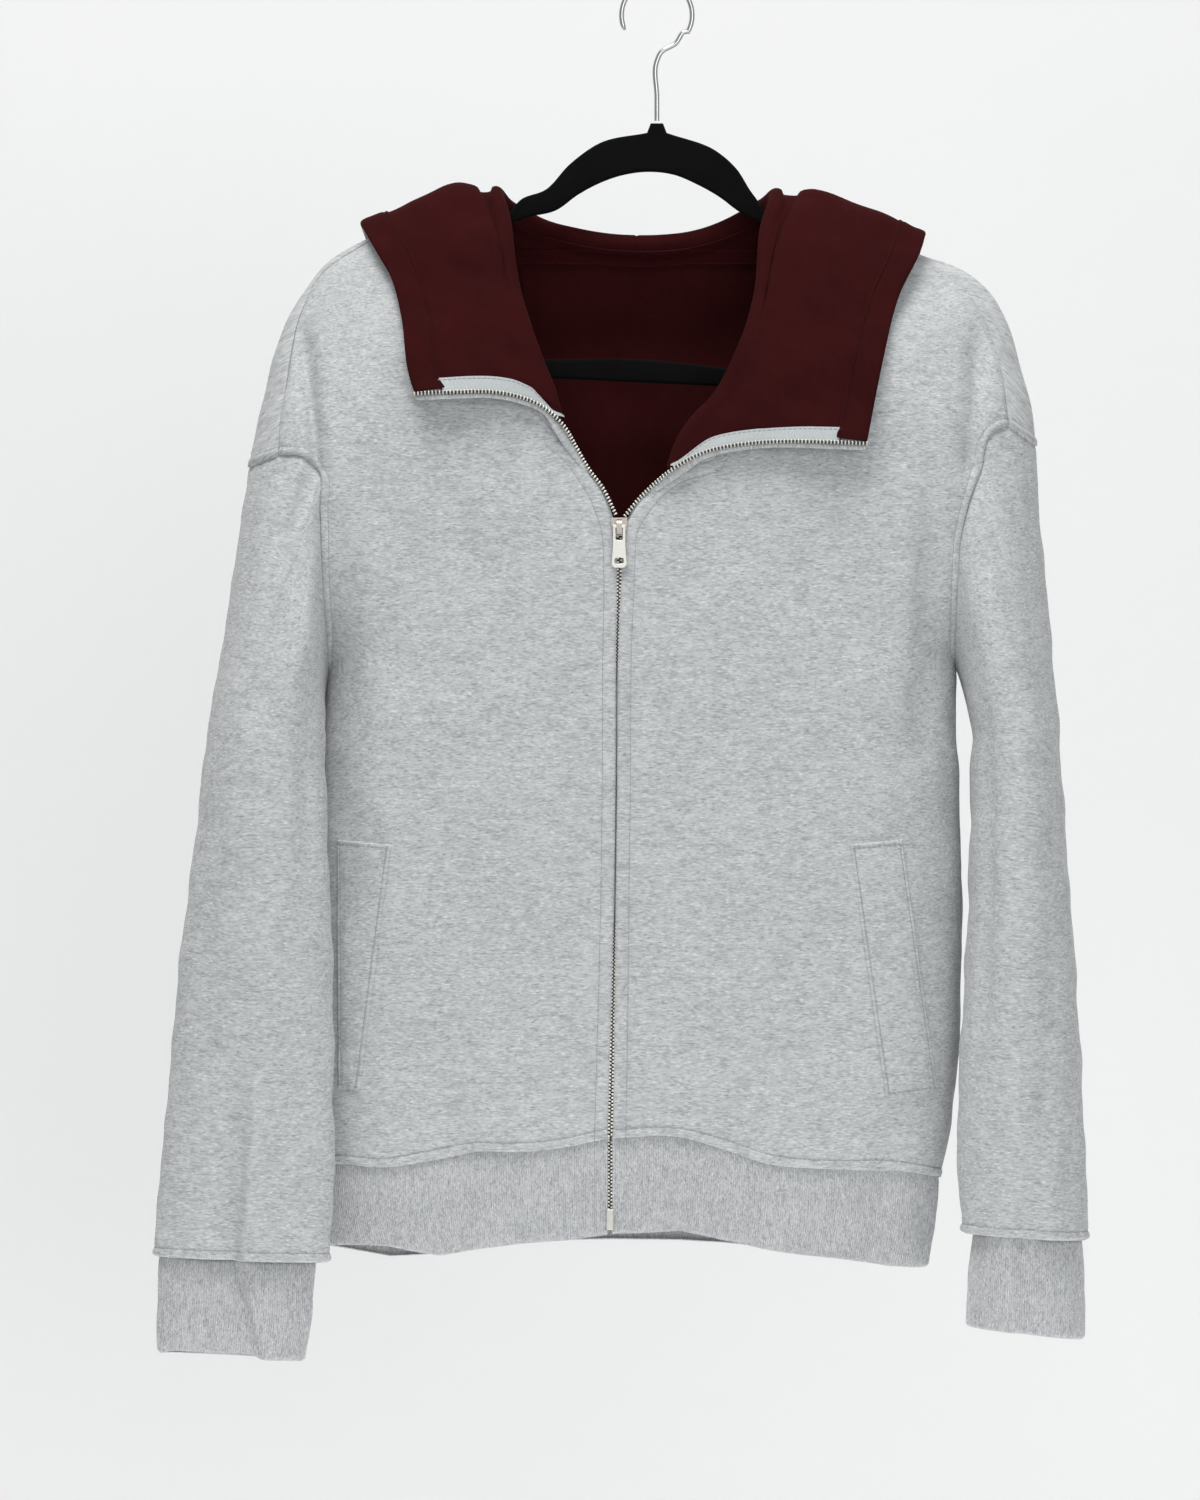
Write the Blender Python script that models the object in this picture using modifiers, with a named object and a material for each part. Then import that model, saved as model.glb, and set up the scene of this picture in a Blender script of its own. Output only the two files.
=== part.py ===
"""A zip-up hoodie on a slim flocked hanger, modelled hanging from the hanger's hook.

Sizes are in millimetres and go into Blender in metres. +X is the viewer's right, -Y is the front and +Z is
up. The origin is the highest point inside the hook, where a rail carries it. Left and right are the wearer's,
so the right front lies at -X.
"""

import math

import bmesh
import bpy
import numpy as np

MM = 0.001

# Cloth
FLEECE = 2.2
RIB = 2.4
HOOD_PLY = 1.5
PLY_GAP = 0.9
SEAM_GAP = 0.45
TWILL = 0.8

# Body: half its depth at the chest and the hem, and how it rounds off towards its outline
FRONT_DEPTH = 46.0
BACK_DEPTH = 41.0
HEM_LOSS = 10.0
SIDE_ROUND = 62.0
SHOULDER_ROUND = 130.0

# The outline seen from the front, from the hem up one side to the neck, as (x, z)
RIGHT_SIDE = [(-217.0, -726.0), (-219.5, -677), (-218.5, -620), (-215, -560), (-210.5, -500), (-205, -455), (-202, -420)]
RIGHT_ARM = [(-202.0, -420.0), (-225, -381), (-243.4, -336), (-250, -296.5)]
RIGHT_SHOULDER = [
    (-250.0, -296.5), (-247.7, -283.6), (-241, -256), (-233, -225.7), (-225, -204.3), (-214.7, -186),
    (-199.5, -169.6), (-178, -157.4), (-138.5, -146.4), (-97.6, -134.8),
]
LEFT_SHOULDER = [
    (72.0, -133.6), (117.7, -150), (161.7, -165.9), (183, -173.2), (194.6, -180.6), (204.3, -190.3),
    (212.3, -204.3), (222.7, -233.6), (229, -258), (232.4, -283.6),
]
LEFT_ARM = [(232.4, -283.6), (222.7, -320), (203, -372), (183, -415)]
LEFT_SIDE = [(183.0, -415.0), (183.6, -465), (185.4, -522), (186.7, -579), (185.4, -636), (182.4, -678), (178, -709), (173.2, -731)]

# Seams on the fronts, as (x, z): the shoulder seam lies forward of the ridge and drops down the arm
RIGHT_SHOULDER_SEAM = [
    (-97.6, -136.8), (-138.5, -148.6), (-178.1, -159.6), (-192.8, -168.4), (-204.4, -176.9), (-212.3, -188.5),
    (-217.8, -202.5), (-222.7, -223.9), (-226.9, -250.7), (-230, -274.5), (-230.6, -290.4),
]
LEFT_SHOULDER_SEAM = [
    (72.0, -135.6), (117.7, -152.2), (161.7, -168.8), (175.1, -176.3), (186.7, -185.4), (196.4, -200.1),
    (204.4, -217.8), (208.6, -231.2), (212.3, -250.7), (214.7, -272.7),
]
RIGHT_ARMHOLE = [(-230.6, -290.4), (-221.4, -290.4), (-213, -292.5), (-206, -300.4), (-205.4, -325), (-204.6, -360), (-203.5, -390), (-202, -420)]
LEFT_ARMHOLE = [(214.7, -272.7), (208.6, -274.5), (201.9, -280), (196.7, -299.5), (190.9, -315.4), (186.4, -335), (184, -365), (183, -415)]
RIGHT_BACK_ARMHOLE = [(-240.0, -297.5), (-228, -297), (-215, -302), (-207, -322), (-205, -360), (-203.5, -390), (-202, -420)]
LEFT_BACK_ARMHOLE = [(222.0, -285.0), (212, -285.5), (201, -292), (193.5, -315), (188, -345), (184.5, -380), (183, -415)]

# The edge at the zip below the neck seam, and the front and back neck seams
RIGHT_OPENING = [(-25.6, -335.5), (-35.4, -314), (-43.9, -301), (-51.9, -289), (-60.5, -281)]
LEFT_OPENING = [(-20.7, -335.5), (-7.9, -318.4), (1.2, -309.3), (14.6, -300.5), (32.9, -294)]
RIGHT_ZIP_EDGE = [(-31.1, -705.8), (-29.3, -622), (-27.4, -500), (-26.8, -408.7), (-25.6, -360), (-25.6, -335.5)]
LEFT_ZIP_EDGE = [(-26.2, -705.8), (-24.4, -622), (-22.6, -500), (-22.0, -408.7), (-20.7, -360), (-20.7, -335.5)]
RIGHT_NECK = [(-60.5, -281.0), (-83, -247), (-97, -199), (-99.5, -160), (-97.6, -136.8)]
LEFT_NECK = [(32.9, -294.0), (58, -250), (71, -201), (74.5, -161), (72, -135.6)]
BACK_NECK = [(-97.6, -134.8), (-85, -150), (-59.2, -159.4), (-14.6, -165.9), (38.4, -159), (60, -148), (72, -133.6)]

# Hem seam and lower edge of the rib, from the zip to the side seam, and both for the back
RIGHT_HEM = [(-31.1, -705.8), (-56, -711.3), (-87, -714.3), (-110, -713.9), (-135, -718.5), (-168.4, -723.8), (-195, -722), (-217, -726)]
LEFT_HEM = [(-26.2, -705.8), (14, -705.2), (40.9, -712.5), (68.9, -721.6), (105.5, -724.7), (147, -725.9), (173.2, -731)]
BACK_HEM = [(-217.0, -726.0), (-160, -732), (-90, -722), (-10, -717), (80, -722), (150, -729), (173.2, -731)]
RIB_TOP_X = [-217, -168, -135, -110, -87, -56, -28, 14, 41, 69, 105, 147, 173.2]
RIB_FRONT_BOTTOM = [-772, -771.6, -776.5, -773, -771, -768, -763.1, -762.5, -768.5, -773, -778, -784.5, -785.1]
RIB_BACK_BOTTOM = [-772, -780.5, -779, -776, -773, -770.5, -770, -770.5, -772, -774.5, -778, -783, -785.1]
RIB_PULL_IN = 7.0

# Large folds in the body's cloth: a trough (positive depth) or ridge along a line
FOLDS = [
    dict(x0=-216, z0=-212, x1=-206, z1=-300, width=5.5, depth=9.0),
    dict(x0=196, z0=-215, x1=190, z1=-300, width=7.0, depth=6.0),
    dict(x0=-140, z0=-640, x1=-128, z1=-712, width=20, depth=5.0),
    dict(x0=-112, z0=-650, x1=-100, z1=-712, width=14, depth=-4.0),
    dict(x0=22, z0=-630, x1=52, z1=-712, width=18, depth=6.0),
    dict(x0=146, z0=-688, x1=136, z1=-724, width=13, depth=5.0),
]

# Sleeves: sections below the armhole, from the outer to the inner edge
RIGHT_SLEEVE = [
    dict(z=-460, outer=-273.5, inner=-201.8, middle=-32, half=50),
    dict(z=-530, outer=-281.5, inner=-199.3, middle=-47, half=38),
    dict(z=-600, outer=-289.5, inner=-197.0, middle=-50, half=34),
    dict(z=-670, outer=-296.5, inner=-196.0, middle=-49, half=29),
    dict(z=-740, outer=-302.5, inner=-196.4, middle=-47, half=26),
    dict(z=-766, outer=-305.0, inner=-199.0, middle=-47, half=23),
]
LEFT_SLEEVE = [
    dict(z=-465, outer=245.8, inner=192.2, middle=-12, half=62),
    dict(z=-522, outer=249.5, inner=190.9, middle=-20, half=58),
    dict(z=-579, outer=252.8, inner=188.2, middle=-27, half=53),
    dict(z=-636, outer=256.2, inner=185.6, middle=-30, half=49),
    dict(z=-692, outer=259.6, inner=182.8, middle=-31, half=44),
    dict(z=-738, outer=261.7, inner=183.0, middle=-30, half=41),
    dict(z=-752, outer=261.7, inner=185.4, middle=-30, half=39),
]
SLEEVE_SHAPES = {
    "right": dict(
        rows=RIGHT_SLEEVE, seam_outer=-775.9, seam_inner=-779.6, bulge=13.0, underarm=10.0,
        cuff_outer=-301.9, cuff_inner=-207.1, cuff_half=15.5, middle=-47.0,
        hem_outer=-303.2, hem_inner=-214.1, hem_half=16.0, hem_outer_z=-834.5, hem_inner_z=-839.4,
    ),
    "left": dict(
        rows=LEFT_SLEEVE, seam_outer=-766.8, seam_inner=-762.5, bulge=4.0, underarm=6.0,
        cuff_outer=258.0, cuff_inner=192.8, cuff_half=34.0, middle=-30.0,
        hem_outer=259.9, hem_inner=187.9, hem_half=30.0, hem_outer_z=-827.2, hem_inner_z=-819.2,
    ),
}
SLEEVE_GAP = 1.6

# Hood: sections from the zip edge round the neck. rise is how far it stands out of the neck seam before it
# rolls over, lift turns that rise upwards, and low, high and edge are points of the sheet as (x, z, out) on
# the body, or (x, y, z) behind it
ROLL = 3.2
RIGHT_HOOD = [
    dict(neck=0.0, rise=2.0, lift=0.0, low=(-93.9, -256.5, 5), high=(-127, -256.5, 5), edge=(-146, -257.5, 5)),
    dict(neck=0.22, rise=5.5, lift=0.0, low=(-92.5, -238, 5.5), high=(-122, -238, 5.5), edge=(-150.5, -240, 5)),
    dict(neck=0.45, rise=7.5, lift=0.0, low=(-104, -211, 6), high=(-130, -212, 6), edge=(-154, -212, 5)),
    dict(neck=0.68, rise=6.5, lift=0.0, low=(-114, -183, 7), high=(-139, -185, 6), edge=(-161, -185.4, 5)),
    dict(neck=0.88, rise=5.0, lift=0.3, low=(-118, -158.5, 8), high=(-146, -160, 7.5), edge=(-171, -168, 5.5)),
    dict(neck=1.0, rise=7.5, lift=0.9, low=(-119, -141.3, 14), high=(-146, -148.3, 10), edge=(-177.5, -157.3, 6)),
]
LEFT_HOOD = [
    dict(neck=0.0, rise=2.0, lift=0.0, low=(62, -286, 5), high=(101, -286.5, 5), edge=(126, -287.5, 5)),
    dict(neck=0.2, rise=5.5, lift=0.0, low=(57, -259, 5.5), high=(95, -260, 5.5), edge=(131, -262, 5)),
    dict(neck=0.42, rise=7.5, lift=0.0, low=(70, -231, 6), high=(103, -231, 6), edge=(137, -231, 5)),
    dict(neck=0.65, rise=6.5, lift=0.0, low=(84, -199, 7), high=(115, -197, 6), edge=(146, -197, 5)),
    dict(neck=0.87, rise=5.0, lift=0.3, low=(92, -160, 8), high=(124, -166, 8), edge=(158, -172, 5.5)),
    dict(neck=1.0, rise=6.0, lift=0.9, low=(93, -141.3, 11), high=(125, -152.7, 11), edge=(160, -165.2, 7)),
]
BACK_HOOD = [
    dict(neck=0.05, rise=5.0, lift=0.7, low=(-116, 19, -150), high=(-147, 25, -165), edge=(-178, 21, -176)),
    dict(neck=0.17, rise=4.5, lift=0.4, low=(-97, 40, -195), high=(-130, 55, -200), edge=(-155, 47, -190)),
    dict(neck=0.30, rise=4.0, lift=0.2, low=(-69, 49, -265), high=(-91, 86, -250), edge=(-111, 78, -196)),
    dict(neck=0.42, rise=4.0, lift=0.0, low=(-42, 55, -325), high=(-50, 106, -295), edge=(-62, 98, -202)),
    dict(neck=0.50, rise=4.0, lift=0.0, low=(-14, 58, -345), high=(-14, 114, -315), edge=(-14, 106, -204)),
    dict(neck=0.58, rise=4.0, lift=0.0, low=(14, 55, -325), high=(22, 106, -295), edge=(34, 98, -202)),
    dict(neck=0.70, rise=4.0, lift=0.2, low=(42, 49, -265), high=(64, 86, -250), edge=(84, 78, -196)),
    dict(neck=0.83, rise=4.5, lift=0.4, low=(71, 40, -195), high=(104, 55, -200), edge=(130, 47, -190)),
    dict(neck=0.95, rise=5.0, lift=0.7, low=(90, 19, -150), high=(122, 25, -166), edge=(156, 21, -178)),
]
BAND_WIDTH = 19.0
HOOD_CLEAR = 5.0
NECK_GAP = 3.2
NECK_CENTRE = (-12.8, 5.0, 0.0)
CENTRE_GAP = 0.5
ROLL_STEPS = 8
SHEET_ROWS = 8
BAND_ROWS = 2
HOOD_COLUMNS = 19
FACING_WIDTH = 10.5

# Pocket welts, as corners (x, z)
WELTS = {
    "right": [(-194.6, -524.0), (-161.0, -527.0), (-180.6, -677.1), (-194.0, -675.3)],
    "left": [(116.5, -527.0), (148.8, -524.0), (170.8, -677.1), (138.5, -681.1)],
}
WELT = 1.2
WELT_LIFT = 0.9

# Zip
TAPE_WIDTH = 11.0
TAPE_OVERHANG = 1.6
LINING = 1.2
ZIP_END = -762.0
SLIDER_X = -23.2
SLIDER_TOP = -328.4
SLIDER_LENGTH = 11.4
SLIDER_FRONT_Y = -48.1
SLIDER_BACK_Y = -41.2
TAB_PIVOT_Y = -49.25
TAB_PIVOT_Z = -334.2
TAB_LENGTH = 25.5
TAB_THICK = 1.4

# Hanger
HANGER_THICK = 5.0
WIRE_RADIUS = 1.6
HOOK_RADIUS = 20.0

FINISHES = {
    "heather_fleece": dict(colour=(0.49, 0.51, 0.53), roughness=0.95, metallic=0.0),
    "heather_rib": dict(colour=(0.44, 0.46, 0.48), roughness=0.95, metallic=0.0),
    "burgundy_jersey": dict(colour=(0.10, 0.010, 0.014), roughness=0.9, metallic=0.0),
    "grey_twill": dict(colour=(0.60, 0.62, 0.63), roughness=0.85, metallic=0.0),
    "burgundy_twill": dict(colour=(0.09, 0.009, 0.013), roughness=0.85, metallic=0.0),
    "nickel": dict(colour=(0.75, 0.74, 0.70), roughness=0.25, metallic=1.0),
    "black_flock": dict(colour=(0.008, 0.008, 0.009), roughness=1.0, metallic=0.0),
    "chrome_wire": dict(colour=(0.70, 0.70, 0.72), roughness=0.15, metallic=1.0),
}


def cleared_collection():
    for leftover in list(bpy.data.objects):
        bpy.data.objects.remove(leftover)
    collection = bpy.data.collections.new("zip_up_hoodie")
    bpy.context.scene.collection.children.link(collection)
    return collection


def made_material(name, colour, roughness, metallic):
    material = bpy.data.materials.new(name)
    material.use_nodes = True
    shader = material.node_tree.nodes["Principled BSDF"]
    shader.inputs["Base Color"].default_value = (*colour, 1)
    shader.inputs["Roughness"].default_value = roughness
    shader.inputs["Metallic"].default_value = metallic
    material.diffuse_color = (*colour, 1)
    return material


COLLECTION = cleared_collection()
MATERIALS = {name: made_material(name, **finish) for name, finish in FINISHES.items()}


# ---------------------------------------------------------------- curves and surfaces

def through(points, shares, knots=None):
    """A smooth curve through the points, read at the given shares of its length (or at values of its knots)."""
    points = np.asarray(points, float)
    by_length = knots is None
    if by_length:
        steps = np.linalg.norm(np.diff(points, axis=0), axis=1)
        knots = np.concatenate([[0.0], np.cumsum(steps)])
    knots = np.asarray(knots, float)
    slopes = np.gradient(points, knots, axis=0)

    def at(where):
        i = np.clip(np.searchsorted(knots, where, side="right") - 1, 0, len(knots) - 2)
        span = knots[i + 1] - knots[i]
        t = ((where - knots[i]) / span)[:, None]
        span = span[:, None]
        return (
            (2 * t**3 - 3 * t**2 + 1) * points[i] + (t**3 - 2 * t**2 + t) * span * slopes[i]
            + (3 * t**2 - 2 * t**3) * points[i + 1] + (t**3 - t**2) * span * slopes[i + 1]
        )

    shares = np.asarray(shares, float)
    if not by_length:
        return at(shares)
    fine = np.linspace(0, knots[-1], 40 * len(points))
    run = np.concatenate([[0.0], np.cumsum(np.linalg.norm(np.diff(at(fine), axis=0), axis=1))])
    return at(np.interp(shares * run[-1], run, fine))


def even(count):
    return np.linspace(0, 1, count)


def crowded(count, power):
    """Shares from 0 to 1 that crowd towards 1."""
    return 1 - (1 - even(count)) ** power


def outline():
    pieces = [
        through(RIGHT_SIDE, even(26)), through(RIGHT_ARM, even(14)), through(RIGHT_SHOULDER, even(40)),
        through(LEFT_SHOULDER, even(40)), through(LEFT_ARM, even(14)), through(LEFT_SIDE, even(26)),
    ]
    return np.concatenate(pieces)


OUTLINE = outline()


def nearest_edge(x, z):
    """How far each point lies inside the outline (negative outside), and the unit direction in from it."""
    here = np.stack([np.ravel(x), np.ravel(z)], axis=1)[:, None]
    start = OUTLINE[:-1]
    run = OUTLINE[1:] - start
    length = np.maximum((run**2).sum(1), 1e-9)
    along = np.clip(((here - start) * run).sum(2) / length, 0, 1)
    away = here - (start + along[..., None] * run)
    distance = np.linalg.norm(away, axis=2)
    distance[:, length < 1e-6] = 1e9
    pick = distance.argmin(1)
    row = np.arange(len(pick))
    near, away = distance[row, pick], away[row, pick]
    inward = np.stack([run[pick, 1], -run[pick, 0]], axis=1) / np.sqrt(length[pick])[:, None]
    near = np.where((away * inward).sum(1) < -1e-6, -near, near)
    inward = np.where((np.abs(near) > 0.3)[:, None], away / np.where(np.abs(near) > 0.3, near, 1.0)[:, None], inward)
    return near.reshape(np.shape(x)), inward.reshape(*np.shape(x), 2)


def eased(value, low, high):
    t = np.clip((value - low) / (high - low), 0, 1)
    return t * t * (3 - 2 * t)


def fold_depth(x, z):
    """How far the folds push the front in at (x, z)."""
    total = np.zeros(np.shape(x))
    for fold in FOLDS:
        run = np.array([fold["x1"] - fold["x0"], fold["z1"] - fold["z0"]])
        along = ((x - fold["x0"]) * run[0] + (z - fold["z0"]) * run[1]) / (run @ run)
        held = np.clip(along, 0, 1)
        away = np.hypot(x - fold["x0"] - held * run[0], z - fold["z0"] - held * run[1])
        fade = eased(along, -0.25, 0.35) * (1 - eased(along, 0.9, 1.35))
        total += fold["depth"] * fade * np.exp(-((away / fold["width"]) ** 2))
    return total


def body_form(x, z, face):
    """Half depth of the body at (x, z), and its slopes along x and z. face is -1 at the front, 1 at the back."""
    near, inward = nearest_edge(x, z)
    side = 1 - eased(z, -300, -170)
    radius = SHOULDER_ROUND + (SIDE_ROUND - SHOULDER_ROUND) * side
    power = 1.5 + 0.5 * side
    full = (FRONT_DEPTH if face < 0 else BACK_DEPTH) - HEM_LOSS * (1 - eased(z, -720, -420))
    q = np.clip(near / radius, 1e-6, 1)
    inner = 1 - (1 - q) ** power
    depth = full * inner ** (1 / power)
    rate = full / radius * inner ** (1 / power - 1) * (1 - q) ** (power - 1)
    slope_x, slope_z = rate * inward[..., 0], rate * inward[..., 1]
    if face < 0:
        step = 0.5
        depth = depth - fold_depth(x, z)
        slope_x = slope_x - (fold_depth(x + step, z) - fold_depth(x - step, z)) / (2 * step)
        slope_z = slope_z - (fold_depth(x, z + step) - fold_depth(x, z - step)) / (2 * step)
    return depth, slope_x, slope_z


def on_body(flat, face, out=0.0):
    """Points on the body's outer face over the (x, z) grid, moved out along its normals."""
    flat = np.asarray(flat, float)
    x, z = flat[..., 0], flat[..., 1]
    depth, slope_x, slope_z = body_form(x, z, face)
    normal = np.stack([-slope_x, np.full(np.shape(x), float(face)), -slope_z], axis=-1)
    normal /= np.linalg.norm(normal, axis=-1, keepdims=True)
    point = np.stack([x, face * (depth + SEAM_GAP / 2), z], axis=-1)
    return point + normal * np.asarray(out, float)[..., None]


def patch(bottom, top, inner, outer, u, v):
    """A flat grid between four edges that meet at their ends: rows run from bottom to top, and columns out."""
    u, v = u[None, :, None], v[:, None, None]
    across = (1 - v) * bottom[None] + v * top[None]
    up = (1 - u) * inner[:, None] + u * outer[:, None]
    corners = (
        (1 - u) * (1 - v) * bottom[0] + u * (1 - v) * bottom[-1] + (1 - u) * v * top[0] + u * v * top[-1]
    )
    return across + up - corners


def grid_normals(grid, ring=False):
    if ring:
        across = np.roll(grid, -1, axis=1) - np.roll(grid, 1, axis=1)
    else:
        across = np.gradient(grid, axis=1)
    normal = np.cross(across, np.gradient(grid, axis=0))
    return normal / np.maximum(np.linalg.norm(normal, axis=-1, keepdims=True), 1e-9)


def finished(name, mesh, finish):
    mesh.shade_smooth()
    mesh.set_sharp_from_angle(angle=math.radians(50))
    mesh.materials.append(MATERIALS[finish])
    piece = bpy.data.objects.new(name, mesh)
    COLLECTION.objects.link(piece)
    return piece


def wall(name, outer, inner, finish, ring=False):
    """A cloth wall between two grids of the same layout. Its inner face is worked out from the same surface
    as its outer one, so that the edges of two pieces that are sewn together stand square to each other."""
    rows, columns = outer.shape[:2]
    count = rows * columns
    number = np.arange(count).reshape(rows, columns)
    if ring:
        number = np.column_stack([number, number[:, 0]])
    a, b, c, d = number[:-1, :-1], number[:-1, 1:], number[1:, 1:], number[1:, :-1]
    skin = np.concatenate([np.stack([p.ravel() for p in half], axis=1) for half in ((a, b, c), (a, c, d))])
    borders = [number[0], number[-1][::-1]]
    if not ring:
        borders += [number[::-1, 0], number[:, -1]]
    rims = [np.stack([e[1:], e[:-1], e[:-1] + count, e[1:] + count], axis=1) for e in borders]
    points = np.concatenate([outer.reshape(-1, 3), inner.reshape(-1, 3)]) * MM
    faces = skin.tolist() + (skin[:, ::-1] + count).tolist() + np.concatenate(rims).tolist()
    corners = points[skin]
    outward = np.cross(corners[:, 1] - corners[:, 0], corners[:, 2] - corners[:, 0])
    through_wall = points[skin[:, 0]] - points[skin[:, 0] + count]
    if (outward * through_wall).sum() < 0:
        faces = [face[::-1] for face in faces]
    mesh = bpy.data.meshes.new(name)
    mesh.from_pydata(points.tolist(), [], faces)
    return finished(name, mesh, finish)


# ---------------------------------------------------------------- fronts and back

SIDES = {
    "right": dict(
        zip_edge=RIGHT_ZIP_EDGE, opening=RIGHT_OPENING, neck=RIGHT_NECK, seam=RIGHT_SHOULDER_SEAM,
        armhole=RIGHT_ARMHOLE, side=RIGHT_SIDE, hem=RIGHT_HEM, ridge=RIGHT_SHOULDER[::-1],
        back_armhole=RIGHT_BACK_ARMHOLE,
    ),
    "left": dict(
        zip_edge=LEFT_ZIP_EDGE, opening=LEFT_OPENING, neck=LEFT_NECK, seam=LEFT_SHOULDER_SEAM,
        armhole=LEFT_ARMHOLE, side=LEFT_SIDE[::-1], hem=LEFT_HEM, ridge=LEFT_SHOULDER,
        back_armhole=LEFT_BACK_ARMHOLE,
    ),
}
COLUMNS = 11
SIDE_ROWS = 9
ARMHOLE_ROWS = 12
UNDERARM_Z = -420.0


def joined(first, second):
    return np.concatenate([first, second[1:]])


def front_grid(side):
    """The flat (x, z) grid of one front: rows from the hem to the shoulder seam, columns from the zip out."""
    cut = SIDES[side]
    u = crowded(COLUMNS, 1.6)
    below = [point for point in cut["zip_edge"] if point[1] < UNDERARM_Z]
    above = [point for point in cut["zip_edge"] if point[1] > UNDERARM_Z]
    level = (below[-1][0] + 0.6, UNDERARM_Z)
    opening = np.concatenate([
        through([level] + above, even(12)), through(cut["opening"], even(12))[1:], through(cut["neck"], even(24))[1:],
    ])
    inner = joined(through(below + [level], even(SIDE_ROWS)), along_path(opening, crowded(ARMHOLE_ROWS + 1, 1.25)))
    armhole = along_path(through(cut["armhole"][::-1], even(60)), crowded(ARMHOLE_ROWS + 1, 1.1))
    outer = joined(through(cut["side"], even(SIDE_ROWS)), armhole)
    split = 0.5
    v = joined(split * even(SIDE_ROWS), split + (1 - split) * crowded(ARMHOLE_ROWS + 1, 1.2))
    return patch(through(cut["hem"], u), through(cut["seam"], u), inner, outer, u, v)


def along_path(path, shares):
    """Points at the given shares of the length of a dense path."""
    run = np.concatenate([[0.0], np.cumsum(np.linalg.norm(np.diff(path, axis=0), axis=1))])
    where = np.asarray(shares) * run[-1]
    return np.stack([np.interp(where, run, path[:, i]) for i in range(path.shape[1])], axis=1)


GRIDS = {}


def make_front(side):
    flat = front_grid(side)
    outer, inner = on_body(flat, -1), on_body(flat, -1, -FLEECE)
    GRIDS[side] = outer, inner
    wall(f"front_{side}", outer, inner, "heather_fleece")


NECK_COLUMNS = 9
BACK_ARMHOLE_ROWS = 6
WRAP_STEPS = (3.0, 10.0)


def back_grid(out):
    """The back: it wraps over the shoulders to the shoulder seams, so its first rows lie on the front face."""
    columns = {}
    for side in ("right", "left"):
        cut = SIDES[side]
        seam = through(cut["seam"], crowded(COLUMNS, 1.6))
        ridge = through(cut["ridge"], crowded(COLUMNS, 1.6))
        gap = (ridge - seam) / np.linalg.norm(ridge - seam, axis=1, keepdims=True)
        inward = nearest_edge(ridge[:, 0], ridge[:, 1])[1]
        rows = [on_body(seam + gap * SEAM_GAP, -1, out), on_body(seam + 0.6 * (ridge - seam), -1, out)]
        rows += [on_ridge(ridge, inward, out)] + [on_body(ridge + inward * step, 1, out) for step in WRAP_STEPS]
        columns[side] = np.stack(rows), ridge + inward * WRAP_STEPS[-1]
    neck = through(BACK_NECK, even(NECK_COLUMNS + 2)[1:-1])
    drops = np.linspace(0, WRAP_STEPS[-1], 3 + len(WRAP_STEPS))
    neck_rows = np.stack([on_body(neck + np.array([0, -drop]), 1, out) for drop in drops])
    strip = np.concatenate([columns["right"][0][:, ::-1], neck_rows, columns["left"][0]], axis=1)
    top = np.concatenate([columns["right"][1][::-1], neck + np.array([0, -drops[-1]]), columns["left"][1]])
    return np.concatenate([strip, on_body(back_lower(top)[1:], 1, out)])


def on_ridge(ridge, inward, out):
    lift = -inward * out
    return np.stack([ridge[:, 0] + lift[:, 0], np.zeros(len(ridge)), ridge[:, 1] + lift[:, 1]], axis=1)


def back_lower(top):
    """The flat grid of the back below the shoulders, from its top row down to the hem."""
    run = np.concatenate([[0.0], np.cumsum(np.abs(np.diff(top[:, 0])) + 0.35 * np.abs(np.diff(top[:, 1])))])
    u = run / run[-1]
    edges = {}
    for side, start in (("right", top[0]), ("left", top[-1])):
        cut = SIDES[side]
        armhole = through([tuple(start)] + cut["back_armhole"], even(BACK_ARMHOLE_ROWS + 1))
        edges[side] = joined(armhole, through(cut["side"][::-1], even(SIDE_ROWS)))
    v = joined(0.42 * even(BACK_ARMHOLE_ROWS + 1), 0.42 + 0.58 * even(SIDE_ROWS))
    return patch(top, through(BACK_HEM, u), edges["right"], edges["left"], u, v)


def make_back():
    outer, inner = back_grid(0.0), back_grid(-FLEECE)
    GRIDS["back"] = outer, inner
    wall("back", outer, inner, "heather_fleece")


# ---------------------------------------------------------------- sleeves and cuffs

def armhole_loop(side):
    """The armhole from the top of the shoulder down its front to the underarm and up its back: points on the
    edges of the front and the back, moved 1 mm inwards."""
    rows = SIDE_ROWS - 1
    column = 0 if side == "right" else -1
    front = moved_in(GRIDS[side], 1.0)[rows:, -1][::-1]
    back = moved_in(GRIDS["back"], 1.0)[: 5 + BACK_ARMHOLE_ROWS, column]
    return np.concatenate([back[2:0:-1], front, back[:2:-1][1:]])


def moved_in(grids, distance):
    outer, inner = grids
    return outer + (inner - outer) * (distance / FLEECE)


def ellipse(outer, inner, middle, half, outer_z, inner_z, shares):
    """A ring of points from the outer edge round the front to the inner edge and back."""
    turn = np.linspace(0, 2 * math.pi, 361)
    centre, reach = (outer + inner) / 2, (outer - inner) / 2
    ring = np.stack([
        centre + reach * np.cos(turn), middle - half * np.sin(turn),
        (outer_z + inner_z) / 2 + (outer_z - inner_z) / 2 * np.cos(turn),
    ], axis=1)
    return along_path(ring, shares)


BLEND_ROWS = 7
TUBE_ROWS = 9


def ring_shares(side):
    """How far round the armhole each of its points lies, with the underarm half way."""
    loop = armhole_loop(side)
    closed = np.concatenate([loop, loop[:1]])
    run = np.concatenate([[0.0], np.cumsum(np.linalg.norm(np.diff(closed, axis=0), axis=1))])
    half = 2 + ARMHOLE_ROWS
    return np.interp(run[:-1], [0.0, run[half], run[-1]], [0.0, 0.5, 1.0])


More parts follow.
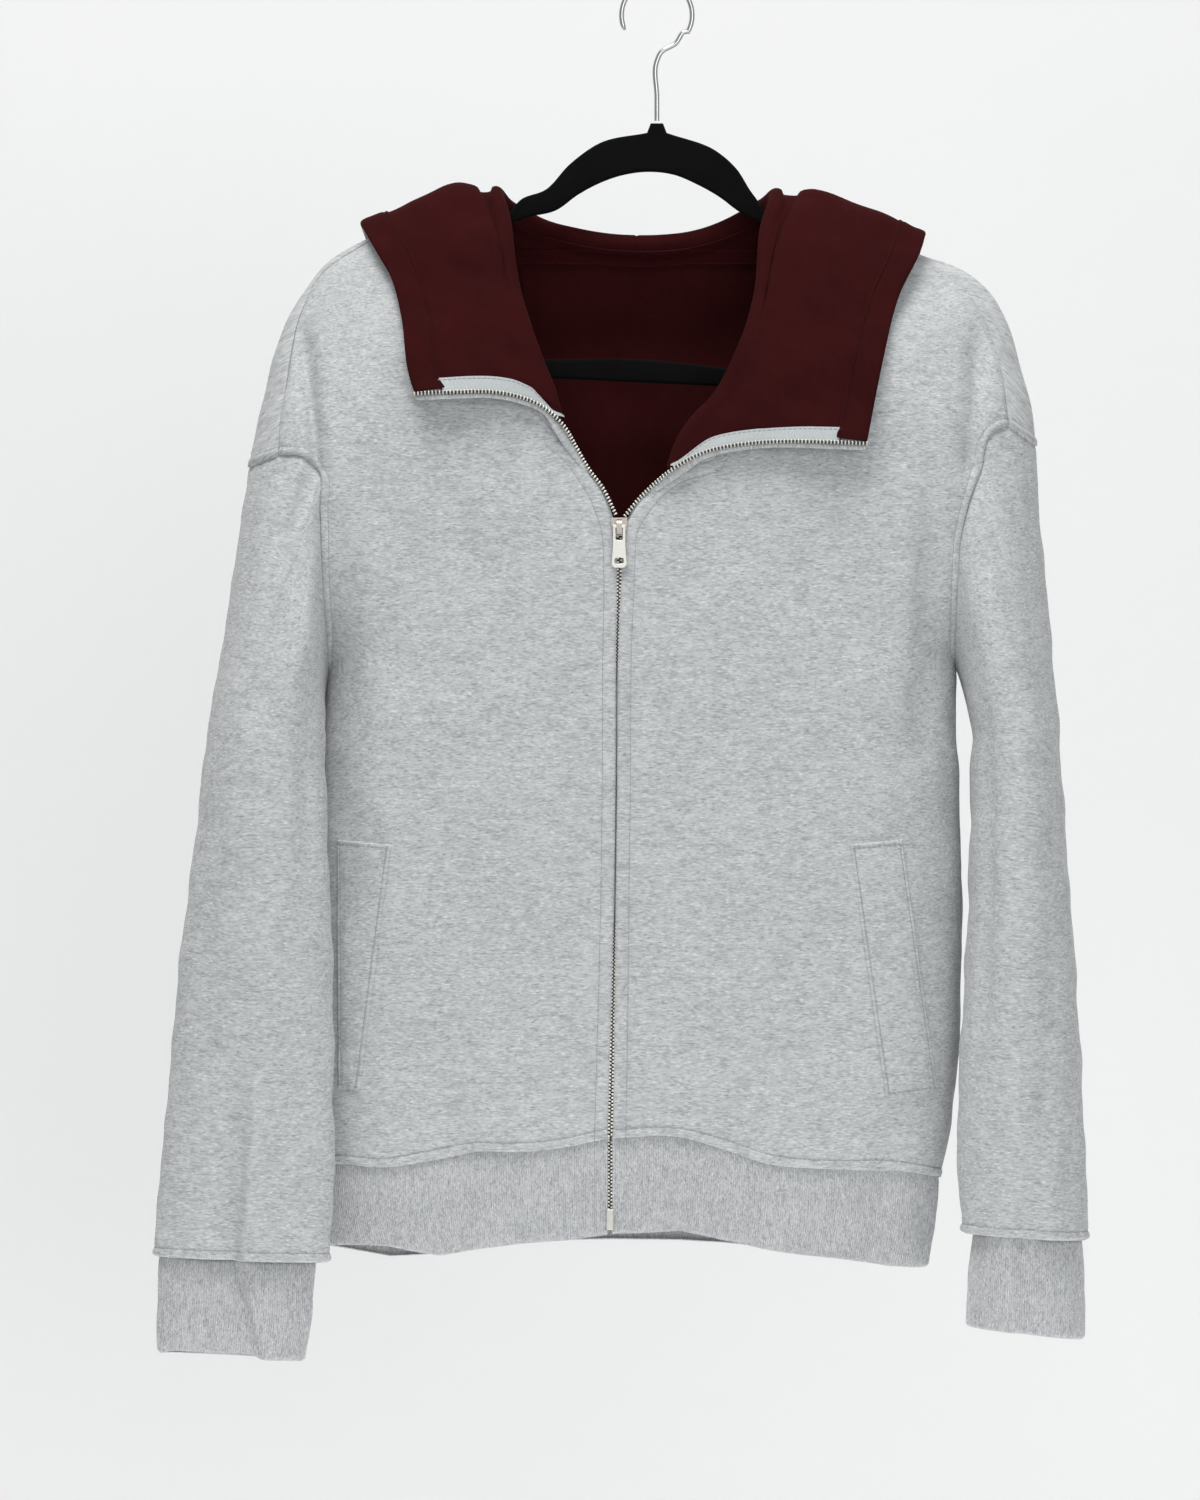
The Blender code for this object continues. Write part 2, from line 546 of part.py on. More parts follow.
def sleeve_grid(side):
    shape = SLEEVE_SHAPES[side]
    columns = ("z", "outer", "inner", "middle", "half")
    table = np.array([[row[column] for column in columns] for row in shape["rows"]], float)
    loop = armhole_loop(side)
    shares = ring_shares(side)
    first = ellipse(*table[0, 1:], table[0, 0], table[0, 0], shares)
    turn = 2 * math.pi * shares
    front, rear = np.clip(np.sin(turn), 0, 1), np.clip(-np.sin(turn), 0, 1)
    inner_side = eased(turn, 1.2, 2.0)
    under = eased(turn, 1.9, 2.9) * (1 - eased(turn, 3.6, 4.6))
    toward = math.copysign(1.0, shape["cuff_outer"])
    rings = []
    for share in even(BLEND_ROWS)[1:-1]:
        ring = (1 - share) * loop + share * first
        swell = math.sin(math.pi * share**0.7)
        ring[:, 1] -= swell * front * (shape["bulge"] * inner_side + 5.0)
        ring[:, 1] += swell * rear * 6.0
        ring[:, 0] += toward * shape["underarm"] * under * math.sin(math.pi * share) ** 0.6
        rings.append(ring)
    away = rings[0] - loop
    rings.insert(0, loop + away * (SLEEVE_GAP / np.linalg.norm(away, axis=1, keepdims=True)))
    for values in through(table, even(TUBE_ROWS)):
        rings.append(ellipse(*values[1:], values[0], values[0], shares))
    outer_z, inner_z = shape["seam_outer"], shape["seam_inner"]
    rings.append(ellipse(
        table[-1, 1] - toward, table[-1, 2] + 1.5 * toward, shape["middle"], table[-1, 4] - 1.5,
        outer_z + 3, inner_z + 3, shares,
    ))
    rings.append(ellipse(
        shape["cuff_outer"] + 0.2 * toward, shape["cuff_inner"] - 0.2 * toward, shape["middle"],
        shape["cuff_half"] + 0.2, outer_z + 0.2, inner_z + 0.2, shares,
    ))
    return np.stack(rings)


def tube(name, grid, thickness, finish):
    normal = grid_normals(grid, ring=True)
    centre = grid.mean(axis=1, keepdims=True)
    if (normal * (grid - centre)).sum() < 0:
        normal = -normal
    wall(name, grid, grid - normal * thickness, finish, ring=True)


def make_sleeve(side):
    tube(f"sleeve_{side}", sleeve_grid(side), 2.0, "heather_fleece")


def make_cuff(side):
    shape = SLEEVE_SHAPES[side]
    drop = 0.2
    shares = ring_shares(side)
    top = ellipse(
        shape["cuff_outer"], shape["cuff_inner"], shape["middle"], shape["cuff_half"],
        shape["seam_outer"] - drop, shape["seam_inner"] - drop, shares,
    )
    bottom = ellipse(
        shape["hem_outer"], shape["hem_inner"], shape["middle"], shape["hem_half"],
        shape["hem_outer_z"], shape["hem_inner_z"], shares,
    )
    rings = [top + share * (bottom - top) for share in even(4)]
    tube(f"cuff_{side}", np.stack(rings), RIB, "heather_rib")


# ---------------------------------------------------------------- waistband

def make_waistband():
    """The rib from one zip edge round the back to the other, from the hem points of the fronts and the back."""
    right, back, left = (moved_in(GRIDS[name], 0.6) for name in ("right", "back", "left"))
    top = np.concatenate([right[0, :-1], back[-1], left[0, -2::-1]])
    columns = right.shape[1] - 1
    front = np.interp(top[:, 0], RIB_TOP_X, RIB_FRONT_BOTTOM)
    behind = np.interp(top[:, 0], RIB_TOP_X, RIB_BACK_BOTTOM)
    low = np.where(top[:, 1] < 0, front, behind)
    low[[columns, -columns - 1]] = (front + behind)[[columns, -columns - 1]] / 2
    middle = (RIGHT_HEM[-1][0] + LEFT_HEM[-1][0]) / 2
    half = (LEFT_HEM[-1][0] - RIGHT_HEM[-1][0]) / 2
    rows = []
    for share in even(5):
        ring = top.copy()
        side = (ring[:, 0] - middle) / half
        ring[:, 0] -= RIB_PULL_IN * share * side * np.abs(side)
        ring[:, 1] *= 1 - 0.12 * share
        ring[:, 2] = (top[:, 2] - 0.5) * (1 - share) + low * share
        rows.append(ring)
    grid = np.stack(rows)
    normal = grid_normals(grid)
    if normal[2, len(top) // 2, 1] < 0:
        normal = -normal
    GRIDS["waistband"] = grid, grid - normal * RIB
    wall("waistband", *GRIDS["waistband"], "heather_rib")


# ---------------------------------------------------------------- hood

def neck_frames(side, shares):
    """Points of the neck seam with their outward normals and the direction into the neck."""
    if side == "back":
        flat, face = through(BACK_NECK, shares), 1
    else:
        flat, face = through(SIDES[side]["neck"], shares), -1
    return on_body(flat, face), on_body(flat, face, 1.0) - on_body(flat, face)


def hood_stations():
    """Key points of every section of the hood, from the right zip edge round the neck to the left one."""
    stations = []
    for part, rows in (("right", RIGHT_HOOD), ("back", BACK_HOOD), ("left", LEFT_HOOD[::-1])):
        points, normals = neck_frames(part, np.array([row["neck"] for row in rows]))
        for row, point, normal in zip(rows, points, normals):
            keys = []
            for key in ("low", "high", "edge"):
                value = row[key]
                if part == "back":
                    keys.append(np.array(value, float))
                else:
                    at_ridge = row["neck"] == 1.0
                    if at_ridge:
                        flat = np.array([value[:2]], float)
                        inward = nearest_edge(flat[:, 0], flat[:, 1])[1]
                        keys.append(on_ridge(flat, inward, value[2])[0])
                    else:
                        keys.append(on_body(np.array(value[:2]), -1, value[2]))
            stations.append((point, normal, row["rise"], row["lift"], keys))
    return stations


def hood_table():
    """The hood's sections as one row of numbers each, their places round the neck, and the place of the middle."""
    stations = hood_stations()
    necks, normals, keys = (np.array([station[i] for station in stations]) for i in (0, 1, 4))
    rises, lifts = (np.array([station[i] for station in stations])[:, None] for i in (2, 3))
    tangents = np.gradient(necks, axis=0)
    into = np.cross(tangents, normals)
    into /= np.linalg.norm(into, axis=1, keepdims=True)
    into = into * (1 - lifts) + np.array([0, 0, 1.0]) * lifts
    into /= np.linalg.norm(into, axis=1, keepdims=True)
    outward = (necks - NECK_CENTRE) * np.array([1.0, 1.0, 0.0])
    outward /= np.linalg.norm(outward, axis=1, keepdims=True)
    away = normals * (1 - lifts) + outward * lifts
    away -= (away * into).sum(1, keepdims=True) * into
    away /= np.linalg.norm(away, axis=1, keepdims=True)
    step = np.linalg.norm(np.diff(keys[:, 1], axis=0), axis=1) + np.linalg.norm(np.diff(necks, axis=0), axis=1)
    knots = np.concatenate([[0.0], np.cumsum(step)])
    knots /= knots[-1]
    table = np.concatenate([necks, into, away, rises, keys.reshape(len(keys), -1)], axis=1)
    return table, knots, knots[len(RIGHT_HOOD) + len(BACK_HOOD) // 2]


def clear_of_body(points):
    """Lifts points of the hood that lie over the body to at least HOOD_CLEAR off it."""
    x, z = points[..., 0], points[..., 2]
    near = nearest_edge(x, z)[0]
    for face in (-1, 1):
        form, slope_x, slope_z = body_form(x, z, face)
        steep = np.minimum(np.sqrt(1 + slope_x**2 + slope_z**2), 3.0)
        depth = np.where(near > 0, form + HOOD_CLEAR * steep, 0.0)
        over = (near > 0) & (face * points[..., 1] > 0)
        points[..., 1] = np.where(over, face * np.maximum(face * points[..., 1], depth), points[..., 1])
    return points


def hood_section(row):
    """One section of the hood, dense, from the neck seam over the roll and along the sheet to the opening."""
    neck, into, away, rise = row[:3], row[3:6], row[6:9], row[9]
    into, away = into / np.linalg.norm(into), away / np.linalg.norm(away)
    start = neck - away * (FLEECE / 2) + into * NECK_GAP
    turn = np.linspace(0, math.pi, ROLL_STEPS + 1)[:, None]
    centre = start + into * rise + away * ROLL
    bend = centre + np.sin(turn) * into * ROLL - np.cos(turn) * away * ROLL
    sheet = through([bend[-1], bend[-1] - into * 3.0, row[10:13], row[13:16], row[16:19]], even(60))
    return np.concatenate([start[None], bend, clear_of_body(sheet[2:])])


def hood_grid(first, last, columns):
    """A grid of the hood between two places round the neck: the last rows, BAND_ROWS of them, are the band."""
    table, knots, _ = hood_table()
    grid = []
    for row in through(table, np.linspace(first, last, columns), knots):
        path = hood_section(row)
        run = np.concatenate([[0.0], np.cumsum(np.linalg.norm(np.diff(path, axis=0), axis=1))])
        marks = run[[0, 1, 3, 5, 7, 9]] / run[-1]
        band = 1 - BAND_WIDTH / run[-1]
        sheet = marks[-1] + (band - marks[-1]) * even(SHEET_ROWS + 1)[1:]
        grid.append(along_path(path, np.concatenate([marks, sheet, band + (1 - band) * even(BAND_ROWS + 1)[1:]])))
    return np.stack(grid, axis=1)


def ply(name, grid, normal, near, far, finish):
    wall(name, grid + normal * far, grid + normal * near, finish)


def make_hood():
    middle = hood_table()[2]
    lining_near, lining_far = PLY_GAP / 2, PLY_GAP / 2 + HOOD_PLY
    for side, first, last in (("right", 0.0, middle), ("left", middle, 1.0)):
        grid = hood_grid(first, last, HOOD_COLUMNS)
        centre = -1 if side == "right" else 0
        away = np.sign(grid[0, -1 - centre, 0] - grid[0, centre, 0])
        grid[:, centre, 0] += away * CENTRE_GAP / 2
        normal = grid_normals(grid)
        if normal[SHEET_ROWS, HOOD_COLUMNS // 3 if side == "right" else -HOOD_COLUMNS // 3, 1] > 0:
            normal = -normal
        for _ in range(2):
            normal[6:-1, 1:-1] += 0.5 * (normal[6:-1, :-2] + normal[6:-1, 2:]) + 0.5 * (normal[5:-2, 1:-1] + normal[7:, 1:-1])
            normal /= np.linalg.norm(normal, axis=-1, keepdims=True)
        normal[:, centre, 0] = 0.0
        normal[:, centre] /= np.linalg.norm(normal[:, centre], axis=1, keepdims=True)
        GRIDS[f"hood_{side}"] = grid, normal
        ply(f"hood_shell_{side}", grid, normal, -lining_near, -lining_far, "heather_fleece")
        lining = grid[:-BAND_ROWS].copy()
        lining[-1] += (lining[-2] - lining[-1]) * 0.08
        ply(f"hood_lining_{side}", lining, normal[:-BAND_ROWS], lining_near, lining_far, "burgundy_jersey")
        band = grid[-BAND_ROWS - 1:].copy()
        band[0] += (band[1] - band[0]) * (1.0 / BAND_WIDTH * BAND_ROWS)
        ply(f"hood_band_{side}", band, normal[-BAND_ROWS - 1:], lining_near, lining_far + 0.4, "burgundy_jersey")


def make_facing(side):
    """The grey twill that covers the zip tape's edge on the hood, laid on the lining along the zip."""
    grid, normal = GRIDS[f"hood_{side}"]
    edge, beside = (0, 1) if side == "right" else (-1, -2)
    rows = slice(5, len(grid) - BAND_ROWS)
    step = grid[rows, beside] - grid[rows, edge]
    length = np.linalg.norm(step, axis=1, keepdims=True)
    shares = (0.0, FACING_WIDTH / 2, FACING_WIDTH)
    strip = np.stack([grid[rows, edge] + step * np.minimum(share / length, 1) for share in shares], axis=1)
    lift = np.stack([
        normal[rows, edge] + (normal[rows, beside] - normal[rows, edge]) * np.minimum(share / length, 1)
        for share in shares
    ], axis=1)
    near = PLY_GAP / 2 + HOOD_PLY + 0.35
    wall(f"zip_facing_{side}", strip + lift * (near + TWILL), strip + lift * near, "grey_twill")


# ---------------------------------------------------------------- what is sewn on

def make_welt(side):
    """A pocket welt lies on the front, from the front's own points moved out."""
    a, b, c, d = (np.array(corner) for corner in WELTS[side])
    u, v = even(5)[None, :, None], even(13)[:, None, None]
    flat = (1 - v) * ((1 - u) * a + u * b) + v * ((1 - u) * d + u * c)
    outer, inner = on_body(flat, -1, WELT_LIFT + WELT), on_body(flat, -1, WELT_LIFT)
    wall(f"pocket_welt_{side}", outer, inner, "heather_fleece")


def make_zip_tape(side):
    """The tape behind the front's edge, from the foot of the rib to the neck seam, on the points of both."""
    inner = GRIDS[side][1]
    rib = GRIDS["waistband"][1] if side == "right" else GRIDS["waistband"][1][:, ::-1]
    last = SIDE_ROWS + ARMHOLE_ROWS - 6
    edge = np.concatenate([rib[3::-1, 0], inner[1:last, 0]])
    beside = np.concatenate([rib[3::-1, 1], inner[1:last, 1]])
    across = beside - edge
    length = np.linalg.norm(across, axis=1, keepdims=True)
    shares = (-TAPE_OVERHANG, TAPE_WIDTH / 2, TAPE_WIDTH)
    strip = np.stack([edge + across * share / length for share in shares], axis=1)
    behind = np.array([0, 1.0, 0])
    wall(f"zip_tape_{side}", strip + behind * 0.5, strip + behind * (0.5 + TWILL), "grey_twill")


def make_back_lining():
    """The burgundy lining of the back, seen through the neck, and the tape over the back neck seam."""
    outer, inner = GRIDS["back"]
    columns = slice(COLUMNS, COLUMNS + NECK_COLUMNS)
    into = (inner - outer)[:, columns] / FLEECE
    face = inner[:, columns]
    rows = 5 + BACK_ARMHOLE_ROWS + 1
    ply("back_lining", face[:rows], into[:rows], 0.35, 0.35 + LINING, "burgundy_jersey")
    near = 0.35 + LINING + 0.35
    ply("neck_tape", face[:5], into[:5], near, near + TWILL, "burgundy_twill")


# ---------------------------------------------------------------- zip slider, pull tab and stop

def box(x, y, z):
    """The eight corners and six faces of a box between pairs of x, y and z."""
    corners = [(a, b, c) for a in x for b in y for c in z]
    faces = [(0, 1, 3, 2), (4, 6, 7, 5), (0, 4, 5, 1), (2, 3, 7, 6), (0, 2, 6, 4), (1, 5, 7, 3)]
    return corners, faces


def prism(outline_points, low, high, axis):
    """A plate: its outline is given in the two other axes, and it runs from low to high along axis."""
    count = len(outline_points)
    corners = []
    for level in (low, high):
        for a, b in outline_points:
            corners.append({"x": (level, a, b), "y": (a, level, b), "z": (a, b, level)}[axis])
    faces = [tuple(range(count))[::-1], tuple(range(count, 2 * count))]
    faces += [(i, (i + 1) % count, (i + 1) % count + count, i + count) for i in range(count)]
    return corners, faces


def metal(name, pieces, bevel, finish="nickel"):
    """One solid from overlapping plates, joined and with its edges eased."""
    objects = []
    for corners, faces in pieces:
        mesh = bpy.data.meshes.new(name)
        mesh.from_pydata([tuple(value * MM for value in corner) for corner in corners], [], faces)
        shape = bmesh.new()
        shape.from_mesh(mesh)
        bmesh.ops.recalc_face_normals(shape, faces=shape.faces)
        shape.to_mesh(mesh)
        shape.free()
        objects.append(bpy.data.objects.new(name, mesh))
        COLLECTION.objects.link(objects[-1])
    body = objects[0]
    for other in objects[1:]:
        join = body.modifiers.new("join", "BOOLEAN")
        join.operation, join.solver, join.object = "UNION", "EXACT", other
    if bevel:
        ease = body.modifiers.new("ease", "BEVEL")
        ease.width, ease.segments, ease.limit_method = bevel * MM, 1, "ANGLE"
        ease.angle_limit = math.radians(50)
    graph = bpy.context.evaluated_depsgraph_get()
    mesh = bpy.data.meshes.new_from_object(body.evaluated_get(graph))
    for leftover in objects:
        bpy.data.objects.remove(leftover)
    mesh.materials.clear()
    return finished(name, mesh, finish)


def make_slider():
    """Two plates either side of the chain, joined by a diamond between the tapes, with a bridge over the tab."""
    x, top, low = SLIDER_X, SLIDER_TOP, SLIDER_TOP - SLIDER_LENGTH
    shield = [(x - 4.9, top - 0.4), (x + 4.9, top - 0.4), (x + 4.9, top - 4.6), (x + 3.3, low), (x - 3.3, low), (x - 4.9, top - 4.6)]
    front, back = SLIDER_FRONT_Y, SLIDER_BACK_Y
    bridge = [
        (front + 0.4, top - 0.9), (front - 2.7, top - 2.4), (front - 3.6, top - 3.8), (front - 3.6, low + 2.6),
        (front - 2.7, low + 0.9), (front + 0.4, low + 0.2), (front + 0.4, low + 1.5), (front - 1.9, low + 2.3),
        (front - 2.3, low + 3.2), (front - 2.3, top - 4.0), (front - 1.7, top - 3.4), (front + 0.4, top - 2.6),
    ]
    metal("zip_slider", [
        prism(shield, front, front + 1.3, "y"), prism(shield, back - 1.1, back, "y"),
        box((x - 1.0, x + 1.0), (front + 0.8, back - 0.6), (top - 2.6, top - 0.9)),
        prism(bridge, x - 1.5, x + 1.5, "x"),
    ], 0.0)


def make_tab():
    """The pull tab hangs from a bar under the bridge; it has a slot at the top and a rounded hole at its end."""
    x, pivot = SLIDER_X, TAB_PIVOT_Z
    y0, y1 = TAB_PIVOT_Y - TAB_THICK / 2, TAB_PIVOT_Y + TAB_THICK / 2
    end = pivot + 0.7 - TAB_LENGTH
    half, foot = 3.6, 4.5
    edge = [(x - half, pivot + 0.7), (x + half, pivot + 0.7), (x + half, pivot - 11), (x + foot - 0.2, end + 5), (x + foot, end + 1.6)]
    edge += [(x + foot - 1.6, end), (x - foot + 1.6, end), (x - foot, end + 1.6), (x - foot + 0.2, end + 5), (x - half, pivot - 11)]
    slot = [(x - 2.3, pivot - 0.7), (x + 2.3, pivot - 0.7), (x + 2.3, pivot - 7.6), (x + 1.5, pivot - 8.6), (x - 1.5, pivot - 8.6), (x - 2.3, pivot - 7.6)]
    hole = [(x + 3.0 * math.copysign(abs(math.cos(a)) ** 0.6, math.cos(a)), end + 4.0 + 2.1 * math.copysign(abs(math.sin(a)) ** 0.6, math.sin(a)))
            for a in np.linspace(0, 2 * math.pi, 13)[:-1]]
    curve_solid("pull_tab", [edge, slot, hole], TAB_THICK, 0.3, "nickel", TAB_PIVOT_Y)


def make_stop():
    """The box and pin at the foot of the zip."""
    x = (RIGHT_ZIP_EDGE[0][0] + LEFT_ZIP_EDGE[0][0]) / 2
    y = GRIDS["waistband"][0][2, 0, 1]
    metal("zip_stop", [box((x - 2.2, x + 2.2), (y - 1.2, y + 1.1), (ZIP_END + 0.6, ZIP_END + 13.0))], 0.4)


# ---------------------------------------------------------------- hanger

def curve_solid(name, loops, thickness, bevel, finish, y_offset=0.0):
    curve = bpy.data.curves.new(name, "CURVE")
    curve.dimensions = "2D"
    curve.fill_mode = "BOTH"
    curve.extrude = (thickness / 2 - bevel) * MM
    curve.bevel_depth = bevel * MM
    curve.bevel_resolution = 1
    for loop in loops:
        spline = curve.splines.new("POLY")
        spline.points.add(len(loop) - 1)
        for point, (x, z) in zip(spline.points, loop):
            point.co = (x * MM, z * MM, 0, 1)
        spline.use_cyclic_u = True
    outline_object = bpy.data.objects.new(name, curve)
    COLLECTION.objects.link(outline_object)
    graph = bpy.context.evaluated_depsgraph_get()
    mesh = bpy.data.meshes.new_from_object(outline_object.evaluated_get(graph))
    bpy.data.objects.remove(outline_object)
    shape = bmesh.new()
    shape.from_mesh(mesh)
    bmesh.ops.remove_doubles(shape, verts=shape.verts, dist=0.00001)
    for vertex in shape.verts:
        x, y, z = vertex.co
        vertex.co = (x, y_offset * MM - z, y)
    bmesh.ops.recalc_face_normals(shape, faces=shape.faces)
    shape.to_mesh(mesh)
    shape.free()
    mesh.materials.clear()
    return finished(name, mesh, finish)


def make_hanger():
    """Arch, arms and bar are one flocked moulding. The arms follow the shoulders just under the cloth."""
    arm_drop = 7.5
    arches = {
        "right": [(-6.0, -92.0), (-34.8, -98.2), (-53.1, -111), (-68.3, -126.9), (-84.2, -133.6), (-87.5, -137.5), (-92, -144.5)],
        "left": [(6.0, -92.0), (37.2, -103.7), (48.8, -114.1), (57.3, -127.5), (62.0, -134.0), (66.5, -142.5)],
    }
    limits = {"right": (-203.0, -99.0), "left": (75.0, 191.0)}
    tips = {
        "right": [(-203.5, -187), (-202, -194), (-194, -204), (-179, -219), (-160, -230)],
        "left": [(191.5, -199), (189.5, -206), (182, -217), (167, -233), (148, -245)],
    }
    halves = {}
    for side, arch in arches.items():
        ridge = through(SIDES[side]["ridge"], even(80))
        arm = ridge + nearest_edge(ridge[:, 0], ridge[:, 1])[1] * arm_drop
        low, high = limits[side]
        arm = along_path(arm[(arm[:, 0] > low) & (arm[:, 0] < high)], even(9))
        halves[side] = list(map(tuple, through(arch, even(12)))) + list(map(tuple, arm)) + tips[side]
    boss = [(-3.8, -86.2), (3.8, -86.2)]
    bar = [(120, -250.8), (-11, -244.8), (-130, -239)]
    loop = halves["right"][::-1] + boss + halves["left"] + bar
    arch_under = through([
        (-78.1, -143.3), (-62.2, -139.7), (-48.2, -129.9), (-38.4, -124.4), (-20.7, -117.9), (-4.9, -115.9),
        (10.4, -117.7), (25, -123.8), (39, -131.8), (49.4, -139.7), (66, -149),
    ], even(22))
    hole = list(map(tuple, arch_under)) + [
        (100, -162), (140, -180), (168, -196), (173, -205), (164, -219), (146, -230), (120, -236.6),
        (-11, -230.6), (-130, -225), (-158, -217), (-178, -205), (-186, -195), (-182, -186), (-165, -174),
        (-120, -160),
    ]
    curve_solid("hanger", [loop, hole], HANGER_THICK, 1.2, "black_flock")


def make_hook():
    """A bent wire: straight up out of the hanger's neck, then round over the rail."""
    path = [(0.0, -84.7), (0.0, -70), (0.0, -48), (2.2, -43.2), (11.6, -37.2), (17.6, -30)]
    turn = np.linspace(math.radians(-28), math.radians(205), 22)
    centre = (0.0, -HOOK_RADIUS)
    wire = HOOK_RADIUS + WIRE_RADIUS
    arc = [(centre[0] + wire * math.cos(a), centre[1] + wire * math.sin(a)) for a in turn]
    route = [tuple(p) for p in along_path(through(path + arc[:1], even(60)), even(16))[:-1]] + arc
    curve = bpy.data.curves.new("hanger_hook", "CURVE")
    curve.dimensions = "3D"
    curve.bevel_depth = WIRE_RADIUS * MM
    curve.bevel_resolution = 2
    curve.use_fill_caps = True
    spline = curve.splines.new("POLY")
    spline.points.add(len(route) - 1)
    for point, (x, z) in zip(spline.points, route):
        point.co = (x * MM, 0, z * MM, 1)
    hook = bpy.data.objects.new("hanger_hook", curve)
    curve.materials.append(MATERIALS["chrome_wire"])
    COLLECTION.objects.link(hook)


for side in ("right", "left"):
    make_front(side)
    make_welt(side)
make_back()
make_back_lining()
make_waistband()
make_hood()
for side in ("right", "left"):
    make_sleeve(side)
    make_cuff(side)
    make_zip_tape(side)
    make_facing(side)
make_slider()
make_tab()
make_stop()
make_hanger()
make_hook()
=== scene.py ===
"""A zip-up hoodie in heather grey fleece with a burgundy-lined hood, hanging from a slim flocked hanger.

Sizes are in millimetres and go into Blender in metres. +X is the viewer's right, -Y is the front and +Z is
up. The origin is the highest point inside the hook. Left and right are the wearer's, so the right front lies
at -X.
"""

import math

import bmesh
import bpy
import numpy as np
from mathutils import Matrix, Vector


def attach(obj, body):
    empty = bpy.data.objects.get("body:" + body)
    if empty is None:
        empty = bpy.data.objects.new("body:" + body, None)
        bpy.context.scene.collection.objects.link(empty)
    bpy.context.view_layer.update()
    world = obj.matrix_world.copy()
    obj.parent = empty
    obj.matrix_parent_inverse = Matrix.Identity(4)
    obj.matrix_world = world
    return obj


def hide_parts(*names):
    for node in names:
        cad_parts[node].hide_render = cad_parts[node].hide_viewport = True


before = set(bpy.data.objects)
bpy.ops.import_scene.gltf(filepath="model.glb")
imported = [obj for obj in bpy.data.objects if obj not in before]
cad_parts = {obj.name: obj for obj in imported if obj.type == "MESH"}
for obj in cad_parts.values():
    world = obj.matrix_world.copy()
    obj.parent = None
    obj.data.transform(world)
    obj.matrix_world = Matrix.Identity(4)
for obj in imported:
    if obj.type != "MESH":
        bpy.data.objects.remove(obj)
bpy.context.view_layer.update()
GARMENT = "hoodie_on_hanger"
MM = 0.001


# ==================================================================== studio
# A pale room: one sweep of matt board for wall and floor, a broad window-like light from the upper left and a
# weaker one from the right. The camera looks straight at the front of the garment from far off.

camera = bpy.data.objects.new("camera", bpy.data.cameras.new("camera"))
camera.data.lens, camera.data.sensor_width = 200, 36
camera.location = (-0.0348, -5.1, -0.4697)
camera.rotation_euler = (math.radians(90), 0, 0)
bpy.context.scene.collection.objects.link(camera)
bpy.context.scene.camera = camera
bpy.context.scene.view_settings.view_transform = "Standard"


def soft_light(name, place, aim, size, power, colour):
    light = bpy.data.lights.new(name, "AREA")
    light.shape, light.size, light.size_y = "RECTANGLE", *size
    light.energy, light.color = power, colour
    holder = bpy.data.objects.new(name, light)
    holder.location = place
    holder.rotation_euler = (Vector(aim) - Vector(place)).to_track_quat("-Z", "Y").to_euler()
    bpy.context.scene.collection.objects.link(holder)


soft_light("window", (-0.45, -1.3, 2.0), (-0.05, 0, -0.55), (1.3, 1.0), 46, (1.0, 0.99, 0.975))
soft_light("fill", (0.9, -3.2, 0.1), (0, 0, -0.6), (2.0, 2.0), 25, (0.98, 0.99, 1.0))
soft_light("wall_wash", (0.0, -0.5, 1.3), (0, 1.0, -1.0), (2.2, 0.5), 7.5, (1.0, 1.0, 1.0))
soft_light("floor_bounce", (0.0, -0.3, -1.45), (0, 0.95, -0.75), (2.4, 0.5), 7.0, (1.0, 1.0, 1.0))

room = bpy.data.worlds.new("room")
room.use_nodes = True
room.node_tree.nodes["Background"].inputs["Color"].default_value = (0.93, 0.95, 0.96, 1)
room.node_tree.nodes["Background"].inputs["Strength"].default_value = 0.36
bpy.context.scene.world = room


class Shade:
    """A socket in a material. Sums and products of it add Math nodes, and node() adds any other kind."""

    def __init__(self, tree, socket=None):
        self.tree, self.socket = tree, socket

    def node(self, kind, settings, sockets, out=0):
        made = self.tree.nodes.new(kind)
        for name, value in settings.items():
            setattr(made, name, value)
        for name, value in sockets.items():
            if isinstance(value, Shade):
                self.tree.links.new(value.socket, made.inputs[name])
            else:
                made.inputs[name].default_value = value
        return Shade(self.tree, made.outputs[out])

    def maths(self, operation, first, second):
        return self.node("ShaderNodeMath", {"operation": operation}, {0: first, 1: second})

    def __add__(self, other):
        return self.maths("ADD", self, other)

    def __sub__(self, other):
        return self.maths("SUBTRACT", self, other)

    def __mul__(self, other):
        return self.maths("MULTIPLY", self, other)

    def noise(self, scale, detail, out=0, **more):
        """Noise that takes this socket as its place."""
        sockets = {"Vector": self, "Scale": scale, "Detail": detail, **more}
        return self.node("ShaderNodeTexNoise", {}, sockets, out)

    def stretched(self, by, plus=(0, 0, 0)):
        """This place times a vector, plus another."""
        return self.node("ShaderNodeVectorMath", {"operation": "MULTIPLY_ADD"}, {0: self, 1: by, 2: plus})

    def tinted(self, first, second):
        """A colour between two others, by this socket's value."""
        first, second = (c if isinstance(c, Shade) else (*c, 1) for c in (first, second))
        return self.node("ShaderNodeMix", {"data_type": "RGBA"}, {0: self, 6: first, 7: second}, 2)

    def bumped(self, strength, distance):
        """A surface normal that takes this socket as a height."""
        sockets = {"Strength": strength, "Distance": distance, "Height": self}
        return self.node("ShaderNodeBump", {}, sockets)


ON_CLOTH, ON_OBJECT = 2, 3


